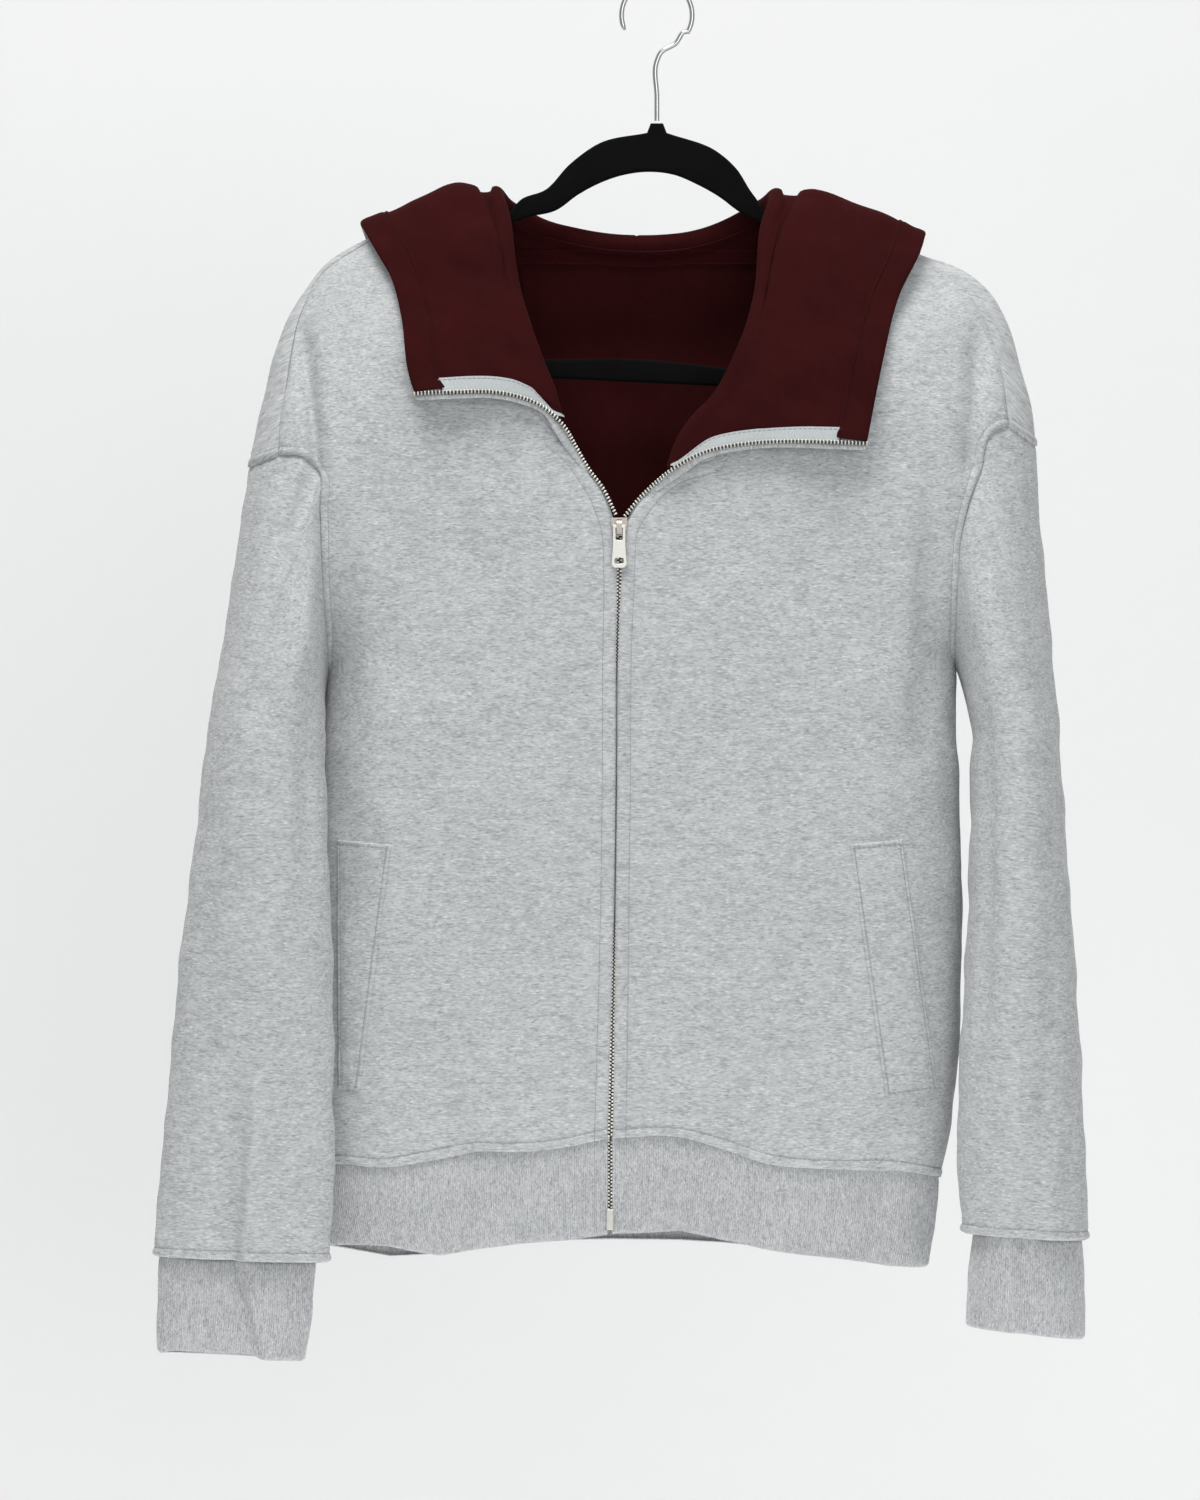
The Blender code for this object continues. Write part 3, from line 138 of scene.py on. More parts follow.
def finish_of(name, base, spot=ON_OBJECT):
    """A new material, a function that links its Principled shader's inputs, and the place to start from."""
    material = bpy.data.materials.new(name)
    material.use_nodes = True
    tree = material.node_tree
    shader = tree.nodes["Principled BSDF"]
    for socket, value in base.items():
        shader.inputs[socket].default_value = value

    def feed(**links):
        for socket, value in links.items():
            tree.links.new(value.socket, shader.inputs[socket.replace("_", " ")])

    return material, feed, Shade(tree).node("ShaderNodeTexCoord", {}, {}, spot)


board, feed, place = finish_of("pale_board", {"Roughness": 0.95})
feed(Base_Color=place.noise(1.3, 2.0).tinted((0.80, 0.815, 0.82), (0.86, 0.85, 0.845)))

profile = [(0.95, 3.0), (0.95, -1.05)]
profile += [(0.45 + 0.5 * math.cos(a), -1.1 - 0.5 * math.sin(a)) for a in np.linspace(0.1, math.pi / 2, 10)]
profile += [(-6.5, -1.6)]
sweep = bpy.data.meshes.new("backdrop")
sweep.from_pydata([(x, y, z) for y, z in profile for x in (-5.0, 5.0)], [],
                  [(2 * i, 2 * i + 1, 2 * i + 3, 2 * i + 2) for i in range(len(profile) - 1)])
sweep.shade_smooth()
sweep.materials.append(board)
backdrop = bpy.data.objects.new("backdrop", sweep)
bpy.context.scene.collection.objects.link(backdrop)


# ==================================================================== hanger
# One slim plastic moulding, covered all over in black flock: a wide arch under the neck, two arms that carry
# the shoulders and a bar across for trousers. Its edges are rounded, and the flock softens them further.


def unit(vectors):
    return vectors / np.maximum(np.linalg.norm(vectors, axis=-1, keepdims=True), 1e-9)


def run_of(path):
    """The length run down a path, or down each column of a grid, up to each of its points."""
    steps = np.linalg.norm(np.diff(path, axis=0), axis=-1)
    return np.concatenate([np.zeros_like(steps[:1]), np.cumsum(steps, axis=0)])


def through(points, shares, knots=None):
    """A smooth curve through the points, read at shares of its length (or at values of its knots)."""
    points = np.asarray(points, float)
    by_length = knots is None
    knots = run_of(points) if by_length else np.asarray(knots, float)
    slopes = np.gradient(points, knots, axis=0)

    def at(where):
        i = np.clip(np.searchsorted(knots, where, side="right") - 1, 0, len(knots) - 2)
        span = knots[i + 1] - knots[i]
        t = ((where - knots[i]) / span)[:, None]
        span = span[:, None]
        return (
            (2 * t**3 - 3 * t**2 + 1) * points[i] + (t**3 - 2 * t**2 + t) * span * slopes[i]
            + (3 * t**2 - 2 * t**3) * points[i + 1] + (t**3 - t**2) * span * slopes[i + 1]
        )

    shares = np.asarray(shares, float)
    return along(at(np.linspace(0, knots[-1], 40 * len(points))), shares) if by_length else at(shares)


def along(path, shares):
    """Points at the given shares of the length of a dense path."""
    run = run_of(path)
    where = np.asarray(shares) * run[-1]
    return np.stack([np.interp(where, run, path[:, i]) for i in range(path.shape[1])], axis=1)


def even(count):
    return np.linspace(0, 1, count)


def crowded(count, power):
    """Shares from 0 to 1 that crowd towards 1."""
    return 1 - (1 - even(count)) ** power


def eased(value, low, high):
    t = np.clip((value - low) / (high - low), 0, 1)
    return t * t * (3 - 2 * t)


# The line of each shoulder seen from the front, as (x, z), from the neck outwards
RIDGE = {
    "right": [
        (-97.6, -134.8), (-138.5, -146.4), (-178, -157.4), (-199.5, -169.6), (-214.7, -186), (-225, -204.3),
        (-233, -225.7), (-241, -256), (-247.7, -283.6), (-250.0, -296.5),
    ],
    "left": [
        (72.0, -133.6), (117.7, -150), (161.7, -165.9), (183, -173.2), (194.6, -180.6), (204.3, -190.3),
        (212.3, -204.3), (222.7, -233.6), (229, -258), (232.4, -283.6),
    ],
}


def shown(name, mesh, material):
    """An object of this mesh, smooth but for its hard edges, in the scene and riding with the garment."""
    mesh.shade_smooth()
    mesh.set_sharp_from_angle(angle=math.radians(50.0))
    mesh.materials.clear()
    mesh.materials.append(material)
    piece = bpy.data.objects.new(name, mesh)
    bpy.context.scene.collection.objects.link(piece)
    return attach(piece, GARMENT)


def evaluated(piece):
    graph = bpy.context.evaluated_depsgraph_get()
    return bpy.data.meshes.new_from_object(piece.evaluated_get(graph))


flock, feed, place = finish_of("black_flock", {
    "Roughness": 1.0, "Specular IOR Level": 0.06, "Sheen Weight": 0.02, "Sheen Roughness": 0.6})
pile, patchy = place.noise(2600.0, 2.0), place.noise(55.0, 3.0)
feed(Base_Color=(pile * 0.6 + patchy * 0.5).tinted((0.0012, 0.0012, 0.0013), (0.0055, 0.0055, 0.0058)),
     Normal=pile.bumped(0.5, 0.0002))

ARCHES = {
    "right": [
        (-6.0, -92.0), (-34.8, -98.2), (-53.1, -111), (-68.3, -126.9), (-84.2, -133.6), (-87.5, -137.5),
        (-92, -144.5),
    ],
    "left": [(6.0, -92.0), (37.2, -103.7), (48.8, -114.1), (57.3, -127.5), (62.0, -134.0), (66.5, -142.5)],
}
TIPS = {
    "right": [(-203.5, -187), (-202, -194), (-194, -204), (-179, -219), (-160, -230)],
    "left": [(191.5, -199), (189.5, -206), (182, -217), (167, -233), (148, -245)],
}
ARM_LIMITS = {"right": (-203.0, -99.0), "left": (75.0, 191.0)}
ARM_DROP = 7.5
NECK_BOSS = [(-3.8, -86.2), (3.8, -86.2)]
BAR = [(120, -250.8), (-11, -244.8), (-130, -239)]
ARCH_UNDER = [
    (-78.1, -143.3), (-62.2, -139.7), (-48.2, -129.9), (-38.4, -124.4), (-20.7, -117.9), (-4.9, -115.9),
    (10.4, -117.7), (25, -123.8), (39, -131.8), (49.4, -139.7), (66, -149),
]
BAR_SLOT = [
    (100, -162), (140, -180), (168, -196), (173, -205), (164, -219), (146, -230), (120, -236.6), (-11, -230.6),
    (-130, -225), (-158, -217), (-178, -205), (-186, -195), (-182, -186), (-165, -174), (-120, -160),
]


def half_hanger(side):
    """The arch from the hanger's neck, the arm that follows the shoulder just inside it, and the arm's tip."""
    ridge = through(RIDGE[side], even(240))
    run = np.gradient(ridge, axis=0)
    inward = unit(np.stack([run[:, 1], -run[:, 0]], axis=1))
    inward *= np.sign(-inward[len(inward) // 3, 1])
    arm = ridge + inward * ARM_DROP
    low, high = ARM_LIMITS[side]
    arm = along(arm[(arm[:, 0] > low) & (arm[:, 0] < high)], even(30))
    return [*map(tuple, through(ARCHES[side], even(40))), *map(tuple, arm),
            *map(tuple, through(TIPS[side], even(16)))]


def remade(mesh, change=None):
    """Applies a change to the mesh as a bmesh, and turns its faces outwards."""
    shape = bmesh.new()
    shape.from_mesh(mesh)
    if change:
        change(shape)
    bmesh.ops.recalc_face_normals(shape, faces=shape.faces)
    shape.to_mesh(mesh)
    shape.free()
    return mesh


def stood_up(shape):
    """Welds the plate's faces and turns it from the XY plane, where a curve fills, up into the XZ plane."""
    bmesh.ops.remove_doubles(shape, verts=shape.verts, dist=0.000005)
    for vertex in shape.verts:
        across, up, depth = vertex.co
        vertex.co = (across, -depth, up)


def flat_solid(name, loops, thickness, bevel):
    """A plate in the XZ plane, cut to the first loop with the others as holes, with rounded edges."""
    curve = bpy.data.curves.new(name, "CURVE")
    curve.dimensions, curve.fill_mode = "2D", "BOTH"
    curve.extrude, curve.bevel_depth, curve.bevel_resolution = (thickness / 2 - bevel) * MM, bevel * MM, 3
    curve.offset = -bevel * MM
    for loop in loops:
        spline = curve.splines.new("POLY")
        spline.points.add(len(loop) - 1)
        for point, (x, z) in zip(spline.points, loop):
            point.co = (x * MM, z * MM, 0, 1)
        spline.use_cyclic_u = True
    plate = bpy.data.objects.new(name, curve)
    bpy.context.scene.collection.objects.link(plate)
    mesh = evaluated(plate)
    bpy.data.objects.remove(plate)
    return remade(mesh, stood_up)


moulding = half_hanger("right")[::-1] + NECK_BOSS + half_hanger("left") + BAR
slot = [*map(tuple, through(ARCH_UNDER, even(60))), *map(tuple, through(BAR_SLOT, even(80)))]
hanger = shown("flocked_hanger", flat_solid("flocked_hanger", [moulding, slot], 5.0, 1.9), flock)
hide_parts("hanger")


# ==================================================================== hook
# A bright chromed wire, 3.2 mm thick, screwed up out of the hanger's neck and bent round to hang from a rail.
# Its cut end is rounded off.

chrome, feed, place = finish_of("chrome_wire", {"Metallic": 1.0, "Base Color": (0.62, 0.62, 0.63, 1)})
feed(Roughness=place.noise(900.0, 3.0) * 0.14 + 0.12)

WIRE = 1.6
HOOK_RADIUS = 20.0
shank = [(0.0, -84.7), (0.0, -70), (0.0, -48), (2.2, -43.2), (11.6, -37.2), (17.6, -30)]
bend = [((HOOK_RADIUS + WIRE) * math.cos(a), -HOOK_RADIUS + (HOOK_RADIUS + WIRE) * math.sin(a))
        for a in np.linspace(math.radians(-28), math.radians(205), 60)]


def tube(name, path, radii, sides):
    """A closed tube along the path, with a radius at each of its points."""
    tangent = unit(np.gradient(path, axis=0))
    side = unit(np.cross(tangent, (0.0, 1.0, 0.0)))
    over = np.cross(side, tangent)
    turn = np.linspace(0, 2 * math.pi, sides, endpoint=False)
    ring = np.cos(turn)[None, :, None] * side[:, None] + np.sin(turn)[None, :, None] * over[:, None]
    points = (path[:, None] + ring * radii[:, None, None]).reshape(-1, 3) * MM
    number = np.arange(len(path) * sides).reshape(len(path), sides)
    beside = np.roll(number, -1, axis=1)
    faces = np.stack([number[:-1], beside[:-1], beside[1:], number[1:]], axis=-1).reshape(-1, 4).tolist()
    faces += [number[0][::-1].tolist(), number[-1].tolist()]
    mesh = bpy.data.meshes.new(name)
    mesh.from_pydata(points.tolist(), [], faces)
    return remade(mesh)


wire = np.concatenate([through(shank + bend[:1], even(50))[:-1], bend])
wire = np.stack([wire[:, 0], np.zeros(len(wire)), wire[:, 1]], axis=1)
radii = np.full(len(wire), WIRE)
radii[-3:] = WIRE * np.array([0.97, 0.8, 0.45])
hook = shown("hanger_wire", tube("hanger_wire", wire, radii, 16), chrome)
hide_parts("hanger_hook")


# ==================================================================== fronts
# Two panels of brushed-back fleece, mottled grey, each cut with its half of the opening. They hang flat from
# the shoulders with a few soft folds, and their edges are turned where the zip, rib and sleeves are sewn on.

FLEECE = 2.2
SEAM_GAP = 0.45
# Half the body's depth in front of the hanger and behind it, and what it loses towards the hem
FRONT_DEPTH, BACK_DEPTH, HEM_LOSS = 46.0, 41.0, 10.0
SIDE_SEAM = {
    "right": [(-217.0, -726.0), (-219.5, -677), (-218.5, -620), (-215, -560), (-210.5, -500), (-205, -455),
              (-202, -420)],
    "left": [(173.2, -731), (178, -709), (182.4, -678), (185.4, -636), (186.7, -579), (185.4, -522),
             (183.6, -465), (183.0, -415.0)],
}
ARM_SIDE = {
    "right": [(-202.0, -420.0), (-225, -381), (-243.4, -336), (-250, -296.5)],
    "left": [(183, -415), (203, -372), (222.7, -320), (232.4, -283.6)],
}
FOLDS = [
    # x0, z0, x1, z1, width, depth: a trough, or a ridge where the depth is negative
    (-216, -212, -206, -300, 5.5, 9.0), (196, -215, 190, -300, 7.0, 6.0),
    (-140, -640, -128, -712, 20, 5.0), (-112, -650, -100, -712, 14, -4.0),
    (22, -630, 52, -712, 18, 6.0), (146, -688, 136, -724, 13, 5.0),
    (-196, -330, -190, -560, 11, 3.4), (-66, -560, -92, -700, 22, 3.4), (-170, -420, -150, -640, 24, -2.6),
    (64, -590, 34, -690, 17, -3.4), (96, -560, 118, -700, 20, 3.2), (168, -300, 160, -470, 9, 3.6),
    (150, -250, 152, -420, 10, -2.2), (-120, -330, -150, -420, 26, 3.0), (90, -330, 130, -400, 24, 2.8),
    (-40, -420, -70, -470, 18, 2.0), (10, -430, 60, -500, 22, 2.2),
]
OUTLINE = np.concatenate([
    through(SIDE_SEAM["right"], even(40)), through(ARM_SIDE["right"], even(20)),
    through(RIDGE["right"][::-1], even(60)), through(RIDGE["left"], even(60)),
    through(ARM_SIDE["left"][::-1], even(20)), through(SIDE_SEAM["left"][::-1], even(40)),
])


def nearest_edge(x, z):
    """How far each point lies inside the outline (negative outside), and the unit direction in from it."""
    here = np.stack([np.ravel(x), np.ravel(z)], axis=1)[:, None]
    start = OUTLINE[:-1]
    run = OUTLINE[1:] - start
    length = np.maximum((run**2).sum(1), 1e-9)
    share = np.clip(((here - start) * run).sum(2) / length, 0, 1)
    away = here - (start + share[..., None] * run)
    distance = np.linalg.norm(away, axis=2)
    distance[:, length < 1e-6] = 1e9
    pick = distance.argmin(1)
    row = np.arange(len(pick))
    near, away = distance[row, pick], away[row, pick]
    inward = np.stack([run[pick, 1], -run[pick, 0]], axis=1) / np.sqrt(length[pick])[:, None]
    near = np.where((away * inward).sum(1) < -1e-6, -near, near)
    far = np.abs(near) > 0.3
    inward = np.where(far[:, None], away / np.where(far, near, 1.0)[:, None], inward)
    return near.reshape(np.shape(x)), inward.reshape(*np.shape(x), 2)


def fold_depth(x, z):
    total = np.zeros(np.shape(x))
    for x0, z0, x1, z1, width, depth in FOLDS:
        run = np.array([x1 - x0, z1 - z0])
        share = ((x - x0) * run[0] + (z - z0) * run[1]) / (run @ run)
        held = np.clip(share, 0, 1)
        away = np.hypot(x - x0 - held * run[0], z - z0 - held * run[1])
        fade = eased(share, -0.25, 0.35) * (1 - eased(share, 0.9, 1.35))
        total += depth * fade * np.exp(-((away / width) ** 2))
    return total


def body_form(x, z, face):
    """Half depth of the body at (x, z), its normal, how far that is short of the full depth, and the direction
    in from the outline. Face is -1 in front and 1 behind."""
    near, inward = nearest_edge(x, z)
    side = 1 - eased(z, -300, -170)
    radius = 130.0 - 68.0 * side
    power = 1.5 + 0.5 * side
    full = (FRONT_DEPTH if face < 0 else BACK_DEPTH) - HEM_LOSS * (1 - eased(z, -720, -420))
    q = np.clip(near / radius, 1e-6, 1)
    inner = 1 - (1 - q) ** power
    depth = full * inner ** (1 / power)
    rate = full / radius * inner ** (1 / power - 1) * (1 - q) ** (power - 1)
    slope_x, slope_z = rate * inward[..., 0], rate * inward[..., 1]
    loss = full - depth
    if face < 0:
        step = 0.5
        depth = depth - fold_depth(x, z)
        slope_x = slope_x - (fold_depth(x + step, z) - fold_depth(x - step, z)) / (2 * step)
        slope_z = slope_z - (fold_depth(x, z + step) - fold_depth(x, z - step)) / (2 * step)
    normal = unit(np.stack([-slope_x, np.full(np.shape(x), float(face)), -slope_z], axis=-1))
    return depth, normal, loss, inward


def on_body(flat, face, out=0.0):
    """Points on the body's outer face over the (x, z) grid, moved out along its normals."""
    flat = np.asarray(flat, float)
    x, z = flat[..., 0], flat[..., 1]
    depth, normal = body_form(x, z, face)[:2]
    point = np.stack([x, face * (depth + SEAM_GAP / 2), z], axis=-1)
    return point + normal * np.asarray(out, float)[..., None]


def laid_flat(flat, face):
    """Where each point of the body lies on the cloth before it was bent round: the grain runs level."""
    loss, inward = body_form(flat[..., 0], flat[..., 1], face)[2:]
    return flat - inward * loss[..., None] * 0.85


def patch(bottom, top, inner, outer, u, v):
    """A flat grid between four edges that meet at their ends: rows run from bottom to top, columns out."""
    u, v = u[None, :, None], v[:, None, None]
    across = (1 - v) * bottom[None] + v * top[None]
    up = (1 - u) * inner[:, None] + u * outer[:, None]
    low = (1 - u) * (1 - v) * bottom[0] + u * (1 - v) * bottom[-1]
    corners = low + (1 - u) * v * top[0] + u * v * top[-1]
    return across + up - corners


def joined(first, second):
    return np.concatenate([first, second[1:]])


def shares_of(length, first=(), last=(), pitch=3.2):
    """Shares of a length in millimetres: fine steps at its start and end, and an even pitch between them."""
    head, tail = np.cumsum((0.0, *first)), length - np.cumsum((0.0, *last))[::-1]
    count = max(int((tail[0] - head[-1]) / pitch), 1)
    middle = np.linspace(head[-1], tail[0], count + 1)
    return np.concatenate([head[:-1], middle, tail[1:]]) / length


def distance_to(path, points):
    """The distance of each point from a path of points."""
    flat = points.reshape(-1, points.shape[-1])
    best = np.full(len(flat), 1e9)
    for start, end in zip(path[:-1], path[1:]):
        run = end - start
        share = np.clip((flat - start) @ run / max(run @ run, 1e-9), 0, 1)
        best = np.minimum(best, ((flat - start - share[:, None] * run) ** 2).sum(1))
    return np.sqrt(best).reshape(points.shape[:-1])


def bump(distance, width):
    """A bell-shaped swell round a distance of 0."""
    return np.exp(-((distance / width) ** 2))


def rolled_edge(distance, stitch, puff=0.6, tuck=1.7):
    """Relief of a turned, topstitched edge: it rolls under at the seam and swells between seam and stitches."""
    swell = puff * np.sin(np.pi * np.clip(distance / stitch, 0, 1)) ** 0.7
    groove = -0.55 * bump(distance - stitch, 0.9)
    return swell + groove - tuck * (1 - np.clip(distance / 1.7, 0, 1)) ** 2


def ripple(points, size, depth):
    """The slight unevenness of hung cloth, as a few long waves that don't line up."""
    x, y, z = (points[..., i] / size for i in range(3))
    waves = np.sin(1.7 * x + 0.9 * z + 0.4) + np.sin(2.9 * z - 1.3 * x + 1.1 + np.sin(1.1 * x))
    waves += 0.7 * np.sin(4.3 * x + 2.2 * z + 2.0 * y) + 0.5 * np.sin(5.9 * z + 3.1 * x + 1.7 * y + 0.7)
    return depth * waves / 2.2


def laid_on(across, down):
    """Places on the flat cloth."""
    return np.stack(np.broadcast_arrays(across, down), axis=-1)


def cloth(name, outer, inner, laid, material, ring=False):
    """A wall of cloth between two grids, with its UV map in metres of cloth. A ring's map has a column more."""
    rows, columns = outer.shape[:2]
    count = rows * columns
    number = np.arange(count).reshape(rows, columns)
    if ring:
        number = np.column_stack([number, number[:, 0]])
    spot = np.arange(laid.shape[0] * laid.shape[1]).reshape(laid.shape[:2])

    def quads(grid):
        return np.stack([grid[:-1, :-1], grid[:-1, 1:], grid[1:, 1:], grid[1:, :-1]], axis=-1).reshape(-1, 4)

    skin, mark = quads(number), quads(spot)
    corners, marks = [skin, skin[:, ::-1] + count], [mark, mark[:, ::-1]]
    edges = [(number[0], spot[0]), (number[-1][::-1], spot[-1][::-1])]
    if not ring:
        edges += [(number[::-1, 0], spot[::-1, 0]), (number[:, -1], spot[:, -1])]
    for edge, mark in edges:
        corners.append(np.stack([edge[1:], edge[:-1], edge[:-1] + count, edge[1:] + count], axis=1))
        marks.append(np.stack([mark[1:], mark[:-1], mark[:-1], mark[1:]], axis=1))
    corners, marks = np.concatenate(corners), np.concatenate(marks)
    points = np.concatenate([outer.reshape(-1, 3), inner.reshape(-1, 3)]) * MM
    first = points[skin[:, 0]]
    outward = np.cross(points[skin[:, 1]] - first, points[skin[:, 2]] - first)
    if (outward * (first - points[skin[:, 0] + count])).sum() < 0:
        corners, marks = corners[:, ::-1], marks[:, ::-1]
    mesh = bpy.data.meshes.new(name)
    mesh.from_pydata(points.tolist(), [], corners.tolist())
    mesh.uv_layers.new(name="cut").data.foreach_set("uv", (laid.reshape(-1, 2)[marks.ravel()] * MM).ravel())
    return shown(name, mesh, material)


def heather(name, pale, mid, dark, scales, grain, on_cloth=True):
    """Marled yarn: short streaks of darker and paler fibre along the courses, under a fuzz of loose ends."""
    material, feed, place = finish_of(name, {
        "Roughness": 0.95, "Specular IOR Level": 0.25, "Sheen Weight": 0.12, "Sheen Roughness": 0.5,
    }, ON_CLOTH if on_cloth else ON_OBJECT)
    length, width = scales
    swayed = place.noise(60.0, 1.0, 1).stretched((0.0022, 0.0022, 0.0022), place)
    streaks = swayed.stretched((length, width, 1.0) if on_cloth else (length, length, width))
    marl = streaks.noise(1.0, 3.0, Roughness=0.6)
    flecks = streaks.stretched((1.5, 1.5, 1.5), (7.7, 3.1, 5.3)).noise(1.0, 1.0)
    blotch = (length * 0.38, width * 0.27, 1.0) if on_cloth else (420.0, 420.0, 190.0)
    patches = swayed.stretched(blotch).noise(1.0, 3.0)
    clouds, fuzz = place.noise(34.0, 2.0), place.noise(grain, 2.0)
    tone = marl * 0.62 + patches * 0.38 + (clouds - 0.5) * 0.12 + (fuzz - 0.5) * 0.16
    ground = tone.node("ShaderNodeValToRGB", {}, {"Fac": tone})
    ramp = ground.socket.node.color_ramp.elements
    ramp[0].position, ramp[0].color = 0.36, (*dark, 1)
    ramp[1].position, ramp[1].color = 0.66, (*pale, 1)
    ramp.new(0.50).color = (*mid, 1)
    dark_ends, pale_ends = (
        flecks.node("ShaderNodeMapRange", {}, {
            "Value": flecks, "From Min": low, "From Max": high, "To Max": 0.8})
        for low, high in ((0.59, 0.74), (0.41, 0.24)))
    colour = dark_ends.tinted(ground, [value * 0.72 for value in dark])
    feed(Base_Color=pale_ends.tinted(colour, [min(value * 1.22, 1) for value in pale]),
         Normal=(marl * 0.5 + flecks * 0.2 + fuzz * 0.6).bumped(0.35, 0.0004))
    return material


fleece = heather("heather_fleece", (0.61, 0.622, 0.626), (0.50, 0.512, 0.517), (0.365, 0.38, 0.392),
                 (225.0, 820.0), 1900.0)

HEM = {
    "right": [(-31.1, -705.8), (-56, -711.3), (-87, -714.3), (-110, -713.9), (-135, -718.5), (-168.4, -723.8),
              (-195, -722), (-217, -726)],
    "left": [(-26.2, -705.8), (14, -705.2), (40.9, -712.5), (68.9, -721.6), (105.5, -724.7), (147, -725.9),
             (173.2, -731)],
    "back": [(-217.0, -726.0), (-160, -732), (-90, -722), (-10, -717), (80, -722), (150, -729), (173.2, -731)],
}
ZIP_EDGE = {
    "right": [(-31.1, -705.8), (-29.3, -622), (-27.4, -500), (-26.8, -408.7), (-25.6, -360), (-25.6, -335.5)],
    "left": [(-26.2, -705.8), (-24.4, -622), (-22.6, -500), (-22.0, -408.7), (-20.7, -360), (-20.7, -335.5)],
}
OPENING = {
    "right": [(-25.6, -335.5), (-33.9, -313), (-42.3, -300), (-50.6, -288.2), (-60.5, -281)],
    "left": [(-20.7, -335.5), (-9.0, -316.9), (-0.1, -307.7), (13.9, -298.8), (32.9, -294)],
}
NECK = {
    "right": [(-60.5, -281.0), (-83, -247), (-97, -199), (-99.5, -160), (-97.6, -136.8)],
    "left": [(32.9, -294.0), (58, -250), (71, -201), (74.5, -161), (72, -135.6)],
    "back": [(-97.6, -134.8), (-85, -150), (-59.2, -159.4), (-14.6, -165.9), (38.4, -159), (60, -148),
             (72, -133.6)],
}
SHOULDER_SEAM = {
    "right": [
        (-97.6, -136.8), (-138.5, -148.6), (-178.1, -159.6), (-192.8, -168.4), (-204.4, -176.9),
        (-212.3, -188.5), (-217.8, -202.5), (-222.7, -223.9), (-226.9, -250.7), (-230, -274.5),
        (-230.6, -290.4),
    ],
    "left": [
        (72.0, -135.6), (117.7, -152.2), (161.7, -168.8), (175.1, -176.3), (186.7, -185.4), (196.4, -200.1),
        (204.4, -217.8), (208.6, -231.2), (212.3, -250.7), (214.7, -272.7),
    ],
}
ARMHOLE = {
    "right": [(-230.6, -290.4), (-221.4, -290.4), (-213, -292.5), (-206, -300.4), (-205.4, -325),
              (-204.6, -360), (-203.5, -390), (-202, -420)],
    "left": [(214.7, -272.7), (208.6, -274.5), (201.9, -280), (196.7, -299.5), (190.9, -315.4), (186.4, -335),
             (184, -365), (183, -415)],
}
UNDERARM_Z = -420.0
# How wide the zip's gap stands at each height, from the foot up: the fronts' edges close over the chain
ZIP_GAP_Z = [-705.8, -700, -622, -560, -450, -390, -345, -335.5]
ZIP_GAP = [3.0, 3.0, 1.9, 1.1, 1.0, 1.5, 3.4, 4.9]
EDGE_STITCH, ZIP_STITCH = 5.5, 8.0


def zip_middle():
    right, left = (through(ZIP_EDGE[name], even(200)) for name in ("right", "left"))
    return (right + left) / 2


def zip_line(side):
    """The front's edge beside the zip, closed in on its middle line to the gap that shows."""
    middle = zip_middle()
    half = np.interp(middle[:, 1], ZIP_GAP_Z, ZIP_GAP) / 2
    middle[:, 0] += half if side == "left" else -half
    return middle


WALLS, FIRST_ARMHOLE_ROW, STITCHES = {}, {}, []


def topstitch(face, distance, stitch):
    """Notes a row of stitches at a distance from the edge at a face's first column, and the way across it."""
    past = distance >= stitch
    column = past.argmax(axis=1)
    row = np.flatnonzero((column > 0) & past.any(axis=1))
    column = column[row]
    near, far = distance[row, column - 1], distance[row, column]
    start, end = face[row, column - 1], face[row, column]
    STITCHES.append((start + ((stitch - near) / (far - near))[:, None] * (end - start), end - start))


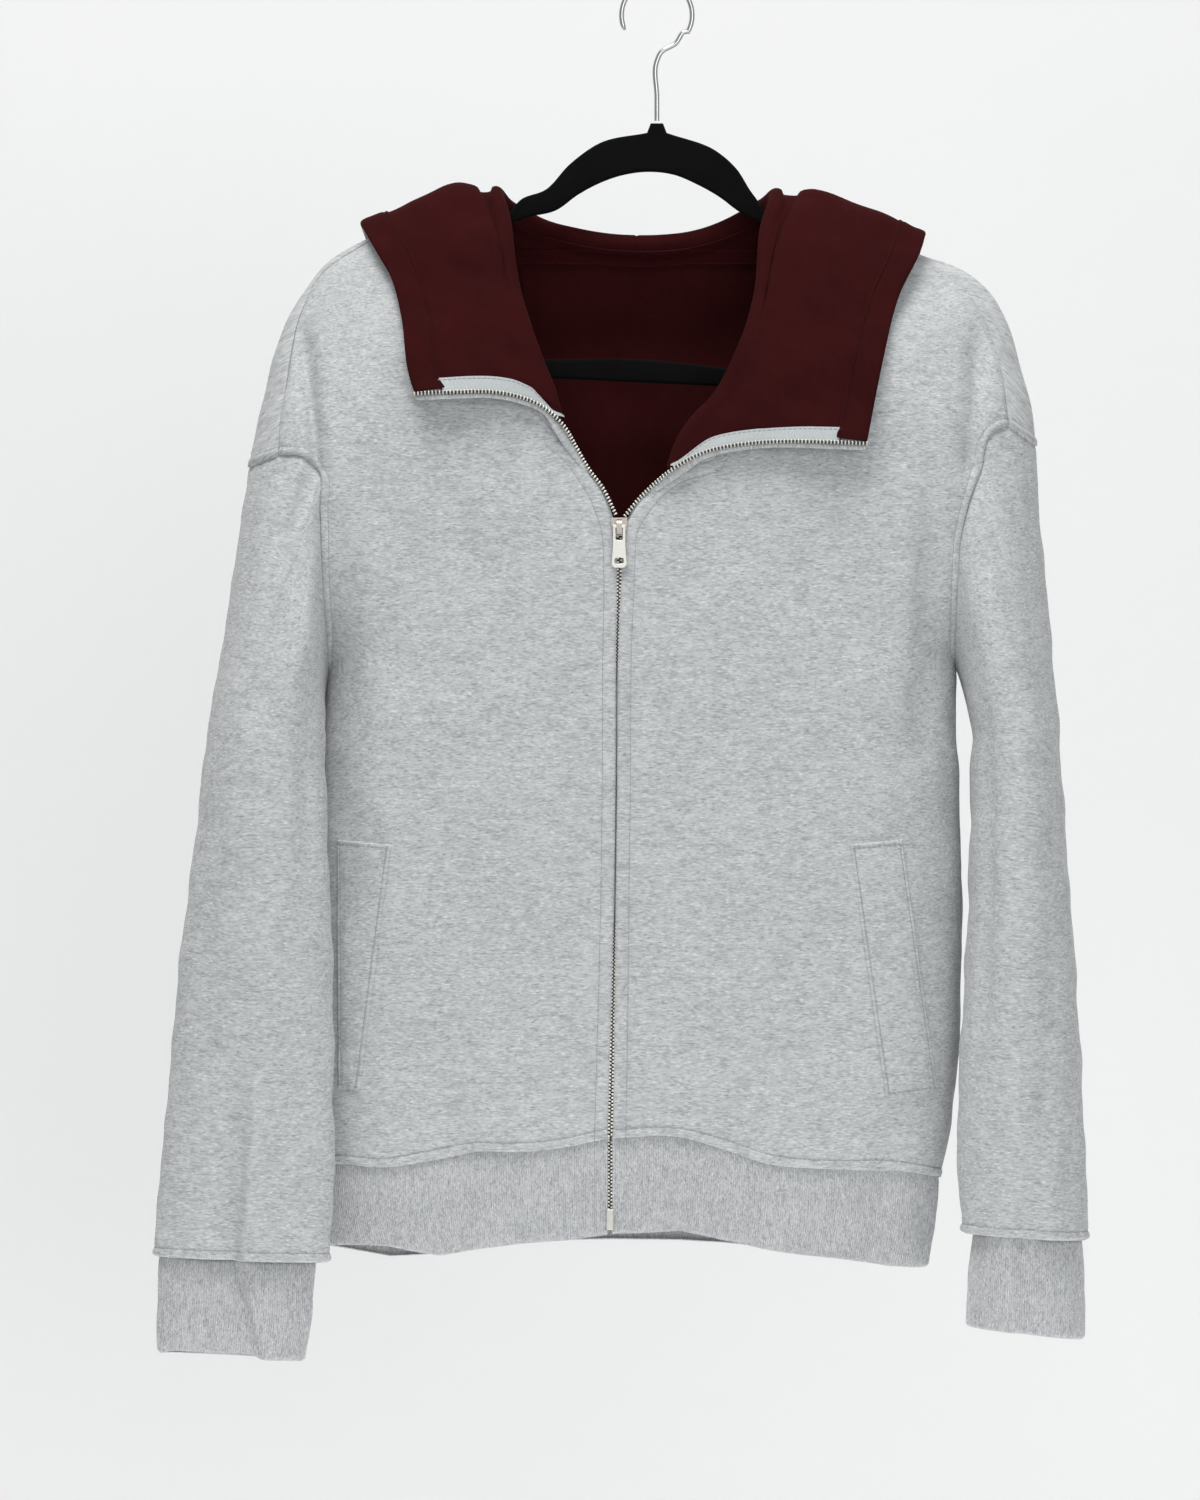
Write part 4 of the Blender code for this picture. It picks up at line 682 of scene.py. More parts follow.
def make_front(side):
    u = shares_of(190.0, (0.8,) * 14, (1.1,) * 9)
    low = shares_of(306.0, (0.8,) * 11)
    zip_edge = zip_line(side)
    level = np.array([[np.interp(UNDERARM_Z, zip_edge[:, 1], zip_edge[:, 0]), UNDERARM_Z]])
    below, above = zip_edge[zip_edge[:, 1] < UNDERARM_Z], zip_edge[zip_edge[:, 1] >= UNDERARM_Z]
    turned_out = through(OPENING[side], even(30))[1:]
    opening = np.concatenate([level, above, turned_out, through(NECK[side], even(60))[1:]])
    inner = joined(along(np.concatenate([below, level]), low), along(opening, crowded(92, 1.25)))
    armhole = through(ARMHOLE[side][::-1], even(120))
    outer = joined(through(SIDE_SEAM[side], low), along(armhole, crowded(92, 1.1)))
    v = joined(0.5 * low, 0.5 + 0.5 * crowded(92, 1.2))
    flat = patch(through(HEM[side], u), through(SHOULDER_SEAM[side], u), inner, outer, u, v)
    base = on_body(flat, -1)
    from_zip = distance_to(np.concatenate([zip_edge, turned_out])[::4], flat)
    from_hem = distance_to(through(HEM[side], even(60)), flat)
    from_arm = distance_to(on_body(armhole, -1)[::2], base)
    from_shoulder = distance_to(on_body(through(SHOULDER_SEAM[side], even(60)), -1), base)
    relief = rolled_edge(from_zip, ZIP_STITCH, 0.5, 1.0) + rolled_edge(from_hem, EDGE_STITCH, 0.8, 2.0)
    relief += rolled_edge(from_arm, EDGE_STITCH, 0.7, 1.5) - 0.9 * bump(from_shoulder, 1.6)
    relief += ripple(base, 26.0, 0.8) * (eased(from_zip, 4, 40) * eased(from_hem, 0, 40))
    face = on_body(flat, -1, relief)
    back = on_body(flat, -1, np.minimum(relief, 0.6) * 0.6 - FLEECE)
    WALLS[side] = face, back
    FIRST_ARMHOLE_ROW[side] = len(low) - 1
    topstitch(face, from_zip, ZIP_STITCH)
    topstitch(face.swapaxes(0, 1), from_hem.T, EDGE_STITCH)
    topstitch(face[:, ::-1], from_arm[:, ::-1], EDGE_STITCH)
    piece = cloth(f"front_{side}_panel", face, back, laid_flat(flat, -1), fleece)
    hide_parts(f"front_{side}")
    return piece


fronts = {side: make_front(side) for side in ("right", "left")}


# ==================================================================== back
# One wide panel of the same fleece. It wraps forward over the shoulders, where it meets the fronts at seams
# that lie in front of the ridge, and it carries the back half of both armholes.

BACK_ARMHOLE = {
    "right": [(-240.0, -297.5), (-228, -297), (-215, -302), (-207, -322), (-205, -360), (-203.5, -390),
              (-202, -420)],
    "left": [(222.0, -285.0), (212, -285.5), (201, -292), (193.5, -315), (188, -345), (184.5, -380),
             (183, -415)],
}
# The panel's first rows: shares of the way from the shoulder seam to the ridge, and steps down behind it
FORWARD = (0.0, 0.12, 0.28, 0.45, 0.62, 0.8, 0.92)
WRAP = (1.2, 2.6, 4.2, 6.0, 8.0, 10.0)
NECK_COLUMNS = 64


def on_ridge(ridge, inward, out):
    lift = -inward * np.asarray(out)
    return np.stack([ridge[:, 0] + lift[:, 0], np.zeros(len(ridge)), ridge[:, 1] + lift[:, 1]], axis=1)


def back_grid(out):
    """The back's grid, as points and as places on the flat cloth. The first rows lie on the front face."""
    u = shares_of(190.0, (1.0,) * 4, (1.2,) * 8)
    strips, marks, tops = {}, {}, {}
    for side in ("right", "left"):
        seam, ridge = through(SHOULDER_SEAM[side], u), through(RIDGE[side], u)
        inward = nearest_edge(ridge[:, 0], ridge[:, 1])[1]
        way = ridge - seam
        flats = [seam + unit(way) * SEAM_GAP * (1 - share) + share * way for share in FORWARD]
        rows = [on_body(flat, -1, out) for flat in flats] + [on_ridge(ridge, inward, out)]
        strips[side] = np.stack(rows + [on_body(ridge + inward * step, 1, out) for step in WRAP])
        places = [2 * ridge - flat for flat in flats] + [ridge]
        marks[side] = np.stack(places + [ridge + inward * step * 1.5 for step in WRAP])
        tops[side] = ridge + inward * WRAP[-1]
    neck = through(NECK["back"], even(NECK_COLUMNS + 2)[1:-1])
    drops = np.linspace(0, WRAP[-1], len(FORWARD) + 1 + len(WRAP))
    neck_marks = np.stack([neck + np.array([0, -drop]) for drop in drops])
    under_neck = np.stack([on_body(flat, 1, out) for flat in neck_marks])
    top = np.concatenate([tops["right"][::-1], neck_marks[-1], tops["left"]])
    step = np.abs(np.diff(top[:, 0])) + 0.35 * np.abs(np.diff(top[:, 1]))
    run = np.concatenate([[0.0], np.cumsum(step)])
    across = run / run[-1]
    arm, low = even(46), shares_of(306.0, (), (0.8,) * 11)
    edges = {}
    for side, start in (("right", top[0]), ("left", top[-1])):
        armhole = through([tuple(start)] + BACK_ARMHOLE[side], arm)
        edges[side] = joined(armhole, through(SIDE_SEAM[side][::-1], low))
    v = joined(0.42 * arm, 0.42 + 0.58 * low)
    flat = patch(top, through(HEM["back"], across), edges["right"], edges["left"], across, v)[1:]
    points, laid = (
        np.concatenate([np.concatenate([wrapped["right"][:, ::-1], middle, wrapped["left"]], axis=1), below])
        for wrapped, middle, below in (
            (strips, under_neck, on_body(flat, 1, out)), (marks, neck_marks, laid_flat(flat, 1))))
    return points, laid, len(FORWARD) + len(WRAP) + len(arm), len(u)


def grid_normals(grid, ring=False):
    """The normals of a grid. Those of a ring point outwards."""
    across = np.roll(grid, -1, axis=1) - np.roll(grid, 1, axis=1) if ring else np.gradient(grid, axis=1)
    normal = unit(np.cross(across, np.gradient(grid, axis=0)))
    if ring and (normal * (grid - grid.mean(axis=1, keepdims=True))).sum() < 0:
        normal = -normal
    return normal


back_face, back_laid, back_rows, side_columns = back_grid(0.0)
back_inner = back_grid(-FLEECE)[0]
thick = (back_face - back_inner) / FLEECE
from_hem = distance_to(back_face[-1][::3], back_face)
from_arm = np.minimum(*(distance_to(back_face[:back_rows, column][::2], back_face) for column in (0, -1)))
relief = rolled_edge(from_hem, EDGE_STITCH, 0.8, 2.0) + rolled_edge(from_arm, EDGE_STITCH, 0.7, 1.5)
relief[0] -= 0.8
relief[1] -= 0.25
relief += ripple(back_face, 34.0, 0.8) * eased(from_hem, 0, 40) * eased(from_arm, 0, 20)
outer = back_face + thick * relief[..., None]
WALLS["back"] = outer, back_inner + thick * (np.minimum(relief, 0.6) * 0.6)[..., None]
half = back_face.shape[1] // 2
topstitch(outer[::-1].swapaxes(0, 1), from_hem[::-1].T, EDGE_STITCH)
topstitch(outer[:, :half], from_arm[:, :half], EDGE_STITCH)
topstitch(outer[:, :half - 1:-1], from_arm[:, :half - 1:-1], EDGE_STITCH)
back = cloth("back_panel", *WALLS["back"], back_laid, fleece)
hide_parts("back")


# ==================================================================== sleeves
# Wide dropped sleeves of the same fleece, each a tube cut off straight at the wrist. They are set in under the
# turned and topstitched edge of the armhole, and hang down with a few long soft folds.

SLEEVES = {
    # rows: z, outer x, inner x, middle y, half depth. folds: angle round the sleeve, top, foot, width as an
    # angle, depth. lap: a sharp fold's angle, top and height. dent: a fold in the cuff: angle, slant, depth
    "right": dict(
        rows=[(-460, -273.5, -201.8, -32, 50), (-530, -281.5, -199.3, -47, 38), (-600, -289.5, -197.0, -50, 34),
              (-670, -296.5, -196.0, -49, 29), (-740, -302.5, -196.4, -47, 26),
              (-766, -305.0, -199.0, -47, 23)],
        outer_z=-775.9, inner_z=-779.6, bulge=13.0, toward=-1.0,
        cuff=(-301.9, -207.1, -47.0, 15.5), mouth=(-303.2, -214.1, -47.0, 16.0), mouth_z=(-834.5, -839.4),
        folds=[(1.32, -610, -775, 0.16, 2.0), (1.75, -560, -700, 0.3, -2.4), (0.75, -480, -640, 0.3, 2.6),
               (2.35, -430, -560, 0.28, 3.4), (0.9, -690, -770, 0.2, -1.5), (4.6, -500, -740, 0.4, 3.0),
               (5.4, -620, -775, 0.3, 2.0)],
        lap=(1.55, -650, 4.6), dent=(1.6, 0.54, 5.0),
    ),
    "left": dict(
        rows=[(-465, 245.8, 192.2, -12, 62), (-522, 249.5, 190.9, -20, 58), (-579, 252.8, 188.2, -27, 53),
              (-636, 256.2, 185.6, -30, 49), (-692, 259.6, 182.8, -31, 44), (-738, 261.7, 183.0, -30, 41),
              (-752, 261.7, 185.4, -30, 39)],
        outer_z=-766.8, inner_z=-762.5, bulge=4.0, toward=1.0,
        cuff=(258.0, 192.8, -30.0, 34.0), mouth=(259.9, 187.9, -30.0, 30.0), mouth_z=(-827.2, -819.2),
        folds=[(1.5, -700, -765, 0.2, 1.6), (1.15, -520, -700, 0.22, 2.6), (2.2, -430, -620, 0.2, 3.6),
               (1.85, -600, -740, 0.2, -1.6), (0.8, -640, -760, 0.25, 1.6), (4.4, -480, -740, 0.4, 3.5),
               (5.3, -600, -760, 0.3, 2.0)],
        lap=(1.35, -690, -3.2), dent=(1.9, -0.1, 2.2),
    ),
}
SLEEVE = 2.0
ROUND = 144
AROUND = np.arange(ROUND) / ROUND
TURN = 2 * math.pi * AROUND


def closed(rows):
    return np.concatenate([rows, rows[:, :1]], axis=1)


def ellipse(outer, inner, middle, half, outer_z, inner_z):
    """A ring of points from the outer edge round the front to the inner edge and back."""
    turn = np.linspace(0, 2 * math.pi, 721)
    centre, reach = (outer + inner) / 2, (outer - inner) / 2
    ring = np.stack([
        centre + reach * np.cos(turn), middle - half * np.sin(turn),
        (outer_z + inner_z) / 2 + (outer_z - inner_z) / 2 * np.cos(turn),
    ], axis=1)
    return along(ring, AROUND)


def armhole_loop(side):
    """The armhole from the top of the shoulder down its front to the underarm and up its back, evenly spaced,
    just inside the turned edges of the front and the back."""
    column = 0 if side == "right" else -1
    front, behind = (face * 0.35 + inner * 0.65 for face, inner in (WALLS[side], WALLS["back"]))
    front, behind = front[FIRST_ARMHOLE_ROW[side]:, -1][::-1], behind[:back_rows, column]
    ridge = len(FORWARD)
    down = np.concatenate([behind[ridge:0:-1], front])
    up = np.concatenate([front[-1:], behind[ridge:][::-1]])
    half = even(ROUND // 2 + 1)
    return np.concatenate([along(down, half)[:-1], along(up, half)[:-1]])


def sleeve_grid(side):
    shape = SLEEVES[side]
    table = np.array(shape["rows"], float)
    toward = shape["toward"]
    loop = armhole_loop(side)
    first = ellipse(*table[0, 1:], table[0, 0], table[0, 0])
    front, rear = np.clip(np.sin(TURN), 0, 1), np.clip(-np.sin(TURN), 0, 1)
    under = eased(TURN, 1.9, 2.9) * (1 - eased(TURN, 3.6, 4.6))
    rings = [loop]
    for share in np.concatenate([[0.02, 0.045, 0.08], np.linspace(0.12, 1, 26)[:-1]]):
        ring = (1 - share) * loop + share * first
        swell = math.sin(math.pi * share**0.7)
        ring[:, 1] -= swell * front * (shape["bulge"] * eased(TURN, 1.2, 2.0) + 5.0)
        ring[:, 1] += swell * rear * 6.0
        ring[:, 0] += toward * 2.0 * under * math.sin(math.pi * share) ** 0.6
        rings.append(ring)
    for values in through(table, even(84)):
        rings.append(ellipse(*values[1:], values[0], values[0]))
    z, outer, inner, middle, half = table[-1]
    for step in even(15)[1:]:
        ends = (z * (1 - step) + (shape[end] - 0.6) * step for end in ("outer_z", "inner_z"))
        widened = toward * 0.6 * step
        rings.append(ellipse(
            outer + widened, inner - widened, middle * (1 - step) + shape["cuff"][2] * step, half, *ends))
    return np.stack(rings)


def lap(apart, width=0.05, reach=0.75):
    """Across a sharp fold: sunk on one side of it and standing out on the other, fading away from it."""
    return np.tanh(apart / width) * bump(apart, reach)


def folds_round(z, folds):
    depth = np.zeros(z.shape)
    for angle, top, foot, width, deep in folds:
        share = (z - top) / (foot - top)
        apart = (TURN[None] - angle - 0.18 * (share - 0.5) + math.pi) % (2 * math.pi) - math.pi
        depth += deep * eased(share, -0.3, 0.7) * (1 - eased(share, 1.02, 1.2)) * bump(apart, width)
    return depth


def make_sleeve(side):
    shape = SLEEVES[side]
    grid = sleeve_grid(side)
    normal = grid_normals(grid, ring=True)
    for _ in range(2):
        normal[1:-1] += 0.5 * (normal[:-2] + normal[2:])
        normal = unit(normal)
    down = run_of(grid)
    from_foot = down[-1:] - down
    calm = eased(down, 2, 40) * eased(from_foot, 0, 30)
    relief = rolled_edge(from_foot, EDGE_STITCH, 0.8, 2.0) - folds_round(grid[..., 2], shape["folds"])
    relief += ripple(grid, 24.0, 0.9) * calm + 0.7 * bump(down - 5.0, 4.0)
    angle, top_z, height = shape["lap"]
    relief += height * lap(TURN[None] - angle) * (1 - eased(grid[..., 2], -768, top_z))
    face = grid + normal * relief[..., None]
    inner = grid + normal * (np.minimum(relief, 0.8) - SLEEVE)[..., None]
    lip = closed(from_foot)
    topstitch(closed(face)[::-1].swapaxes(0, 1), lip[::-1].T, EDGE_STITCH)
    run = np.linalg.norm(np.diff(closed(grid), axis=1), axis=-1).sum(1)
    laid = laid_on((np.concatenate([AROUND, [1.0]])[None] - 0.25) * run[:, None], lip)
    piece = cloth(f"sleeve_{side}_tube", face, inner, laid, fleece, ring=True)
    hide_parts(f"sleeve_{side}")
    return piece


sleeves = {side: make_sleeve(side) for side in ("right", "left")}


# ==================================================================== cuffs
# Short tubes of rib knit, folded double. The rib pulls the sleeve in at the wrist: every wale is a raised cord
# that runs from the seam down to the fold.

rib_knit = heather("heather_rib", (0.68, 0.69, 0.70), (0.55, 0.558, 0.57), (0.37, 0.38, 0.395),
                   (900.0, 480.0), 2400.0, on_cloth=False)
RIB = 1.8
WALE = 1.4
CUFF_LENGTH, BAND_LENGTH = 62.0, 56.0


def node_tree(name, inputs):
    """A Geometry Nodes tree with a geometry input and output and the named inputs."""
    tree = bpy.data.node_groups.new(name, "GeometryNodeTree")
    tree.interface.new_socket("Geometry", in_out="INPUT", socket_type="NodeSocketGeometry")
    for label, kind in inputs.items():
        tree.interface.new_socket(label, in_out="INPUT", socket_type="NodeSocket" + kind)
    tree.interface.new_socket("Geometry", in_out="OUTPUT", socket_type="NodeSocketGeometry")

    def add(kind, sockets, **settings):
        made = tree.nodes.new(kind)
        for label, value in settings.items():
            setattr(made, label, value)
        for label, value in sockets.items():
            if isinstance(value, bpy.types.NodeSocket):
                tree.links.new(value, made.inputs[label])
            else:
                made.inputs[label].default_value = value
        return made.outputs

    given = tree.nodes.new("NodeGroupInput").outputs
    result = tree.nodes.new("NodeGroupOutput").inputs["Geometry"]

    def finish(shape):
        whole = add("GeometryNodeRealizeInstances", {"Geometry": shape})[0]
        painted = add("GeometryNodeSetMaterial", {"Geometry": whole, "Material": given["Material"]})
        tree.links.new(painted[0], result)
        return tree

    return given, add, finish


def ribs_tree():
    """A round cord along every edge path of the guide."""
    given, add, finish = node_tree("ribs", {"Radius": "Float", "Sides": "Int", "Material": "Material"})
    paths = add("GeometryNodeMeshToCurve", {"Mesh": given["Geometry"]})[0]
    section = add("GeometryNodeCurvePrimitiveCircle", {"Resolution": given["Sides"], "Radius": given["Radius"]})
    return finish(add("GeometryNodeCurveToMesh", {
        "Curve": paths, "Profile Curve": section[0], "Fill Caps": True})[0])


def grown(name, guide, tree, values):
    """The plain mesh that a tree makes from a guide mesh, as a piece that rides with the garment."""
    holder = bpy.data.objects.new(name + "_guide", guide)
    bpy.context.scene.collection.objects.link(holder)
    modifier = holder.modifiers.new("grow", "NODES")
    modifier.node_group = tree
    for item in tree.interface.items_tree:
        if item.item_type == "SOCKET" and item.in_out == "INPUT" and item.name in values:
            modifier[item.identifier] = values[item.name]
    holder.update_tag()
    bpy.context.view_layer.update()
    mesh = evaluated(holder)
    bpy.data.objects.remove(holder)
    mesh.name = name
    mesh.shade_smooth()
    piece = bpy.data.objects.new(name, mesh)
    bpy.context.scene.collection.objects.link(piece)
    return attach(piece, GARMENT)


def lines_mesh(name, lines):
    """A mesh of loose edges along each line of points, in millimetres."""
    edges, start = [], 0
    for line in lines:
        edges.append(np.stack([np.arange(len(line) - 1), np.arange(1, len(line))], axis=1) + start)
        start += len(line)
    mesh = bpy.data.meshes.new(name)
    mesh.from_pydata((np.concatenate(lines) * MM).tolist(), np.concatenate(edges).tolist(), [])
    return mesh


RIBS = ribs_tree()


def ribbed(name, face, inner, normal, laid, count, ring=False):
    """A double layer of rib, and a raised cord down each of its wales and just round the fold."""
    piece = cloth(f"{name}_rib", face, inner, laid, rib_knit, ring=ring)
    if ring:
        face, normal = closed(face + normal * 0.12), closed(normal)
    else:
        face = face + normal * 0.12
    shares = (np.arange(count) + 0.5) / count
    guides, out = (np.stack([along(row, shares) for row in rows], axis=1) for rows in (face, normal))
    tail = guides[:, -1] - out[:, -1] * 1.2 - np.array([0, 0, 0.35])
    guide = lines_mesh("wales", list(np.concatenate([guides, tail[:, None]], axis=1)))
    cords = grown(f"{name}_wales", guide, RIBS, {"Radius": 0.46 * MM, "Sides": 6, "Material": rib_knit})
    return piece, cords


def make_cuff(side):
    shape = SLEEVES[side]
    top = ellipse(*shape["cuff"], shape["outer_z"] + 1.2, shape["inner_z"] + 1.2)
    low = ellipse(*shape["mouth"], *shape["mouth_z"])
    steps = shares_of(CUFF_LENGTH, (0.8, 0.8, 0.9, 1.2), (1.2, 0.9, 0.8, 0.6), 3.2)
    grid = np.stack([top + step * (low - top) for step in steps])
    normal = grid_normals(grid, ring=True)
    step = steps[:, None]
    angle, slant, depth = shape["dent"]
    apart = TURN[None] - (angle + slant * step)
    relief = depth * lap(apart) * (1 - 0.3 * step)
    relief += 0.9 * np.sin(math.pi * step) ** 0.6 - 1.4 * (1 - np.clip(step * CUFF_LENGTH / 3.0, 0, 1)) ** 2
    relief += ripple(grid, 16.0, 0.45) * eased(step, 0, 0.3) - 0.9 * eased(step, 0.975, 1.0)
    relief = relief - 0.45
    if side == "right":
        # Inside its crease this cuff's mouth is drawn up
        grid[..., 2] += 2.6 * step**6 * np.clip(2 * np.sin(TURN), 0, 1) * (1 - eased(apart, -0.12, 0.08))
    face, inner = grid + normal * relief[..., None], grid + normal * (relief - RIB)[..., None]
    laid = laid_on(np.concatenate([AROUND, [1.0]])[None] * 230.0, -step * CUFF_LENGTH)
    count = int(np.linalg.norm(np.diff(closed(face)[8], axis=0), axis=-1).sum() / WALE)
    piece, cords = ribbed(f"cuff_{side}", face, inner, normal, laid, count, ring=True)
    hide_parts(f"cuff_{side}")


for side in ("right", "left"):
    make_cuff(side)


# ==================================================================== waistband
# One strip of the same rib, folded double, sewn round the hem from one side of the zip to the other. It pulls
# the body in a little and hangs in a slow wave, and its back edge shows below the front at the sides.

# The fold's height in front and behind at each x
RIB_TOP_X = [-217, -168, -135, -110, -87, -56, -28, 14, 41, 69, 105, 147, 173.2]
RIB_FRONT = [-772, -771.6, -776.5, -773, -771, -768, -763.1, -762.5, -768.5, -773, -778, -784.5, -785.1]
RIB_BACK = [-772, -780.5, -779, -776, -773, -770.5, -770, -770.5, -772, -774.5, -778, -783, -785.1]
RIB_PULL_IN = 7.0
HEM_RIGHT, HEM_LEFT = -217.0, 173.2

right, behind, left = (WALLS[name][0][row] * 0.5 + WALLS[name][1][row] * 0.5
                       for name, row in (("right", 0), ("back", -1), ("left", 0)))
top = along(np.concatenate([right[:-1], behind, left[-2::-1]]), even(300))
share = eased(np.clip(top[:, 1], -8, 8), -8, 8)
front_low, back_low = (np.interp(top[:, 0], RIB_TOP_X, height) for height in (RIB_FRONT, RIB_BACK))
low = front_low * (1 - share) + back_low * share
low += 0.8 * np.sin(top[:, 0] / 17.0) * (1 - share)
steps = shares_of(BAND_LENGTH, (0.8, 0.8, 0.9, 1.2), (1.2, 0.9, 0.8, 0.6), 3.2)
across = (top[:, 0] - (HEM_LEFT + HEM_RIGHT) / 2) / ((HEM_LEFT - HEM_RIGHT) / 2)
grid = np.stack([np.stack([
    top[:, 0] - RIB_PULL_IN * step * across * np.abs(across),
    top[:, 1] * (1 - 0.12 * step),
    (top[:, 2] + 1.0) * (1 - step) + low * step,
], axis=1) for step in steps])
normal = grid_normals(grid)
if normal[2, len(top) // 2, 1] < 0:
    normal = -normal
for _ in range(4):
    normal[:, 1:-1] += 0.5 * (normal[:, :-2] + normal[:, 2:])
    normal = unit(normal)
step = steps[:, None]
relief = 1.3 * np.sin(math.pi * step) ** 0.6 - 0.4 * (1 - np.clip(step * BAND_LENGTH / 3.0, 0, 1)) ** 2 - 0.4
relief = relief + ripple(grid, 22.0, 0.8) * eased(step, 0, 0.5) - 0.9 * eased(step, 0.97, 1.0)
face, inner = grid + normal * relief[..., None], grid + normal * (relief - RIB)[..., None]
WALLS["waistband"] = face, inner
run = run_of(top)
laid = laid_on(run[None], -step * BAND_LENGTH)
waistband, waist_wales = ribbed("waistband", face, inner, normal, laid, int(run[-1] / WALE))
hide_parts("waistband")


# ==================================================================== hood
# Two shaped halves of fleece joined down the middle and lined with velvety burgundy jersey. Turned out over the
# shoulders, it rolls out of the neck seam, lies folded on itself and hangs down behind, with a hemmed band of
# the same jersey round its opening.

# The roll's radius and rise past the seam, where its sheet starts under the seam, and its gap off the body
ROLL, ROLL_RISE, TUCK, OFF_BODY = 3.2, 3.9, 0.7, 5.0
HOODS = {
    # Share of the neck seam, rise of the roll, how far it leans upright, and three places that the sheet passes
    # through: x, z and height off the body in front, and x, y and z behind
    "right": [
        (0.0, 3.9, 0.0, (-93.9, -256.5, 8), (-127, -256.5, 12), (-146, -257.5, 12)),
        (0.22, 9.5, 0.0, (-92.5, -238, 7.5), (-122, -238, 10), (-150.5, -240, 10)),
        (0.45, 9.8, 0.0, (-104, -211, 6.5), (-130, -212, 8), (-154, -212, 7)),
        (0.68, 6.4, 0.0, (-114, -183, 7), (-139, -185, 6), (-161, -185.4, 5)),
        (0.88, 4.0, 0.3, (-118, -158.5, 8), (-146, -160, 7.5), (-171, -168, 5.5)),
        (1.0, 3.2, 0.9, (-119, -141.3, 14), (-146, -148.3, 10), (-177.5, -157.3, 6)),
    ],
    "back": [
        (0.05, 2.4, 0.7, (-116, 19, -150), (-144, 26, -164), (-171, 23, -173)),
        (0.17, 4.5, 0.4, (-97, 40, -195), (-130, 55, -200), (-155, 47, -190)),
        (0.30, 4.0, 0.2, (-69, 49, -265), (-91, 86, -250), (-111, 78, -196)),
        (0.42, 4.0, 0.0, (-42, 55, -325), (-50, 106, -295), (-62, 98, -202)),
        (0.50, 4.0, 0.0, (-14, 58, -345), (-14, 114, -315), (-14, 106, -204)),
        (0.58, 4.0, 0.0, (14, 55, -325), (22, 106, -295), (34, 98, -202)),
        (0.70, 4.0, 0.2, (42, 49, -265), (64, 86, -250), (84, 78, -196)),
        (0.83, 4.5, 0.4, (71, 40, -195), (104, 55, -200), (130, 47, -190)),
        (0.95, 1.8, 0.7, (90, 19, -150), (122, 25, -166), (156, 21, -178)),
    ],
    "left": [
        (1.0, 0.8, 0.9, (93, -141.3, 11), (125, -152.7, 11), (160, -165.2, 7)),
        (0.87, 5.2, 0.3, (92, -160, 8), (124, -166, 8), (158, -172, 5.5)),
        (0.65, 5.4, 0.0, (84, -199, 7), (115, -197, 6), (146, -197, 5)),
        (0.42, 8.9, 0.0, (70, -231, 6.5), (103, -231, 7.5), (137, -231, 6.5)),
        (0.2, 12.6, 0.0, (57, -259, 7.5), (95, -260, 9.5), (131, -262, 9)),
        (0.1, 16.0, 0.0, (58, -272.5, 8), (98, -273.5, 11), (128.5, -275, 11)),
        (0.0, 20.5, 0.0, (62, -286, 8), (101, -286.5, 12), (126, -287.5, 12)),
    ],
}
BAND = 19.0
BAND_STITCH = 16.3
HOOD_PLY = 1.5
PLY_GAP = 0.9
ROLL_STEPS = 18
SHEET_ROWS = 64
BAND_ROWS = 15
HOOD_COLUMNS, COLUMN_STEP = 130, 2.7
LINING_INSET, SEAM_DEPTH = 2.0, 0.7
# Where each lapel's front layer folds back over the layer behind it, from its foot to the top of the shoulder
LAPEL_FOLDS = {
    "right": [(-88.0, -186.0), (-97.0, -161.0), (-104.0, -146.0), (-113.0, -124.0)],
    "left": [(60.5, -203.0), (72.0, -173.0), (84.0, -143.0), (88.0, -128.0)],
}
FOLD_ROW = 22
FOLD_HEIGHT, FOLD_REACH, FOLD_VALLEY, FOLD_STEP = 5.4, 2.8, 2.4, 0.6
# The rounded edge of that fold, row by row: how far it reaches back to the neck, and how high it stands
FOLD_EDGE = [(0, 0), (0.25, 0.08), (0.75, 0.28), (1.0, 0.54), (0.95, 0.8), (0.65, 0.96), (0.3, 1.0), (0.1, 1.0)]
# At the zip the hood leaves the neck seam along the opening, and past the roll its edge follows the teeth
EDGE_WAY = {"right": (0.24, 0.97), "left": (-0.97, -0.25)}
EDGE_RISE = {"right": (-72.8, -262.6), "left": (29.4, -291.6)}
# The share of the neck seam over which the zip holds the sheet up
HELD_BY_ZIP = 0.07
NECK_CENTRE = (-12.8, 5.0, 0.0)


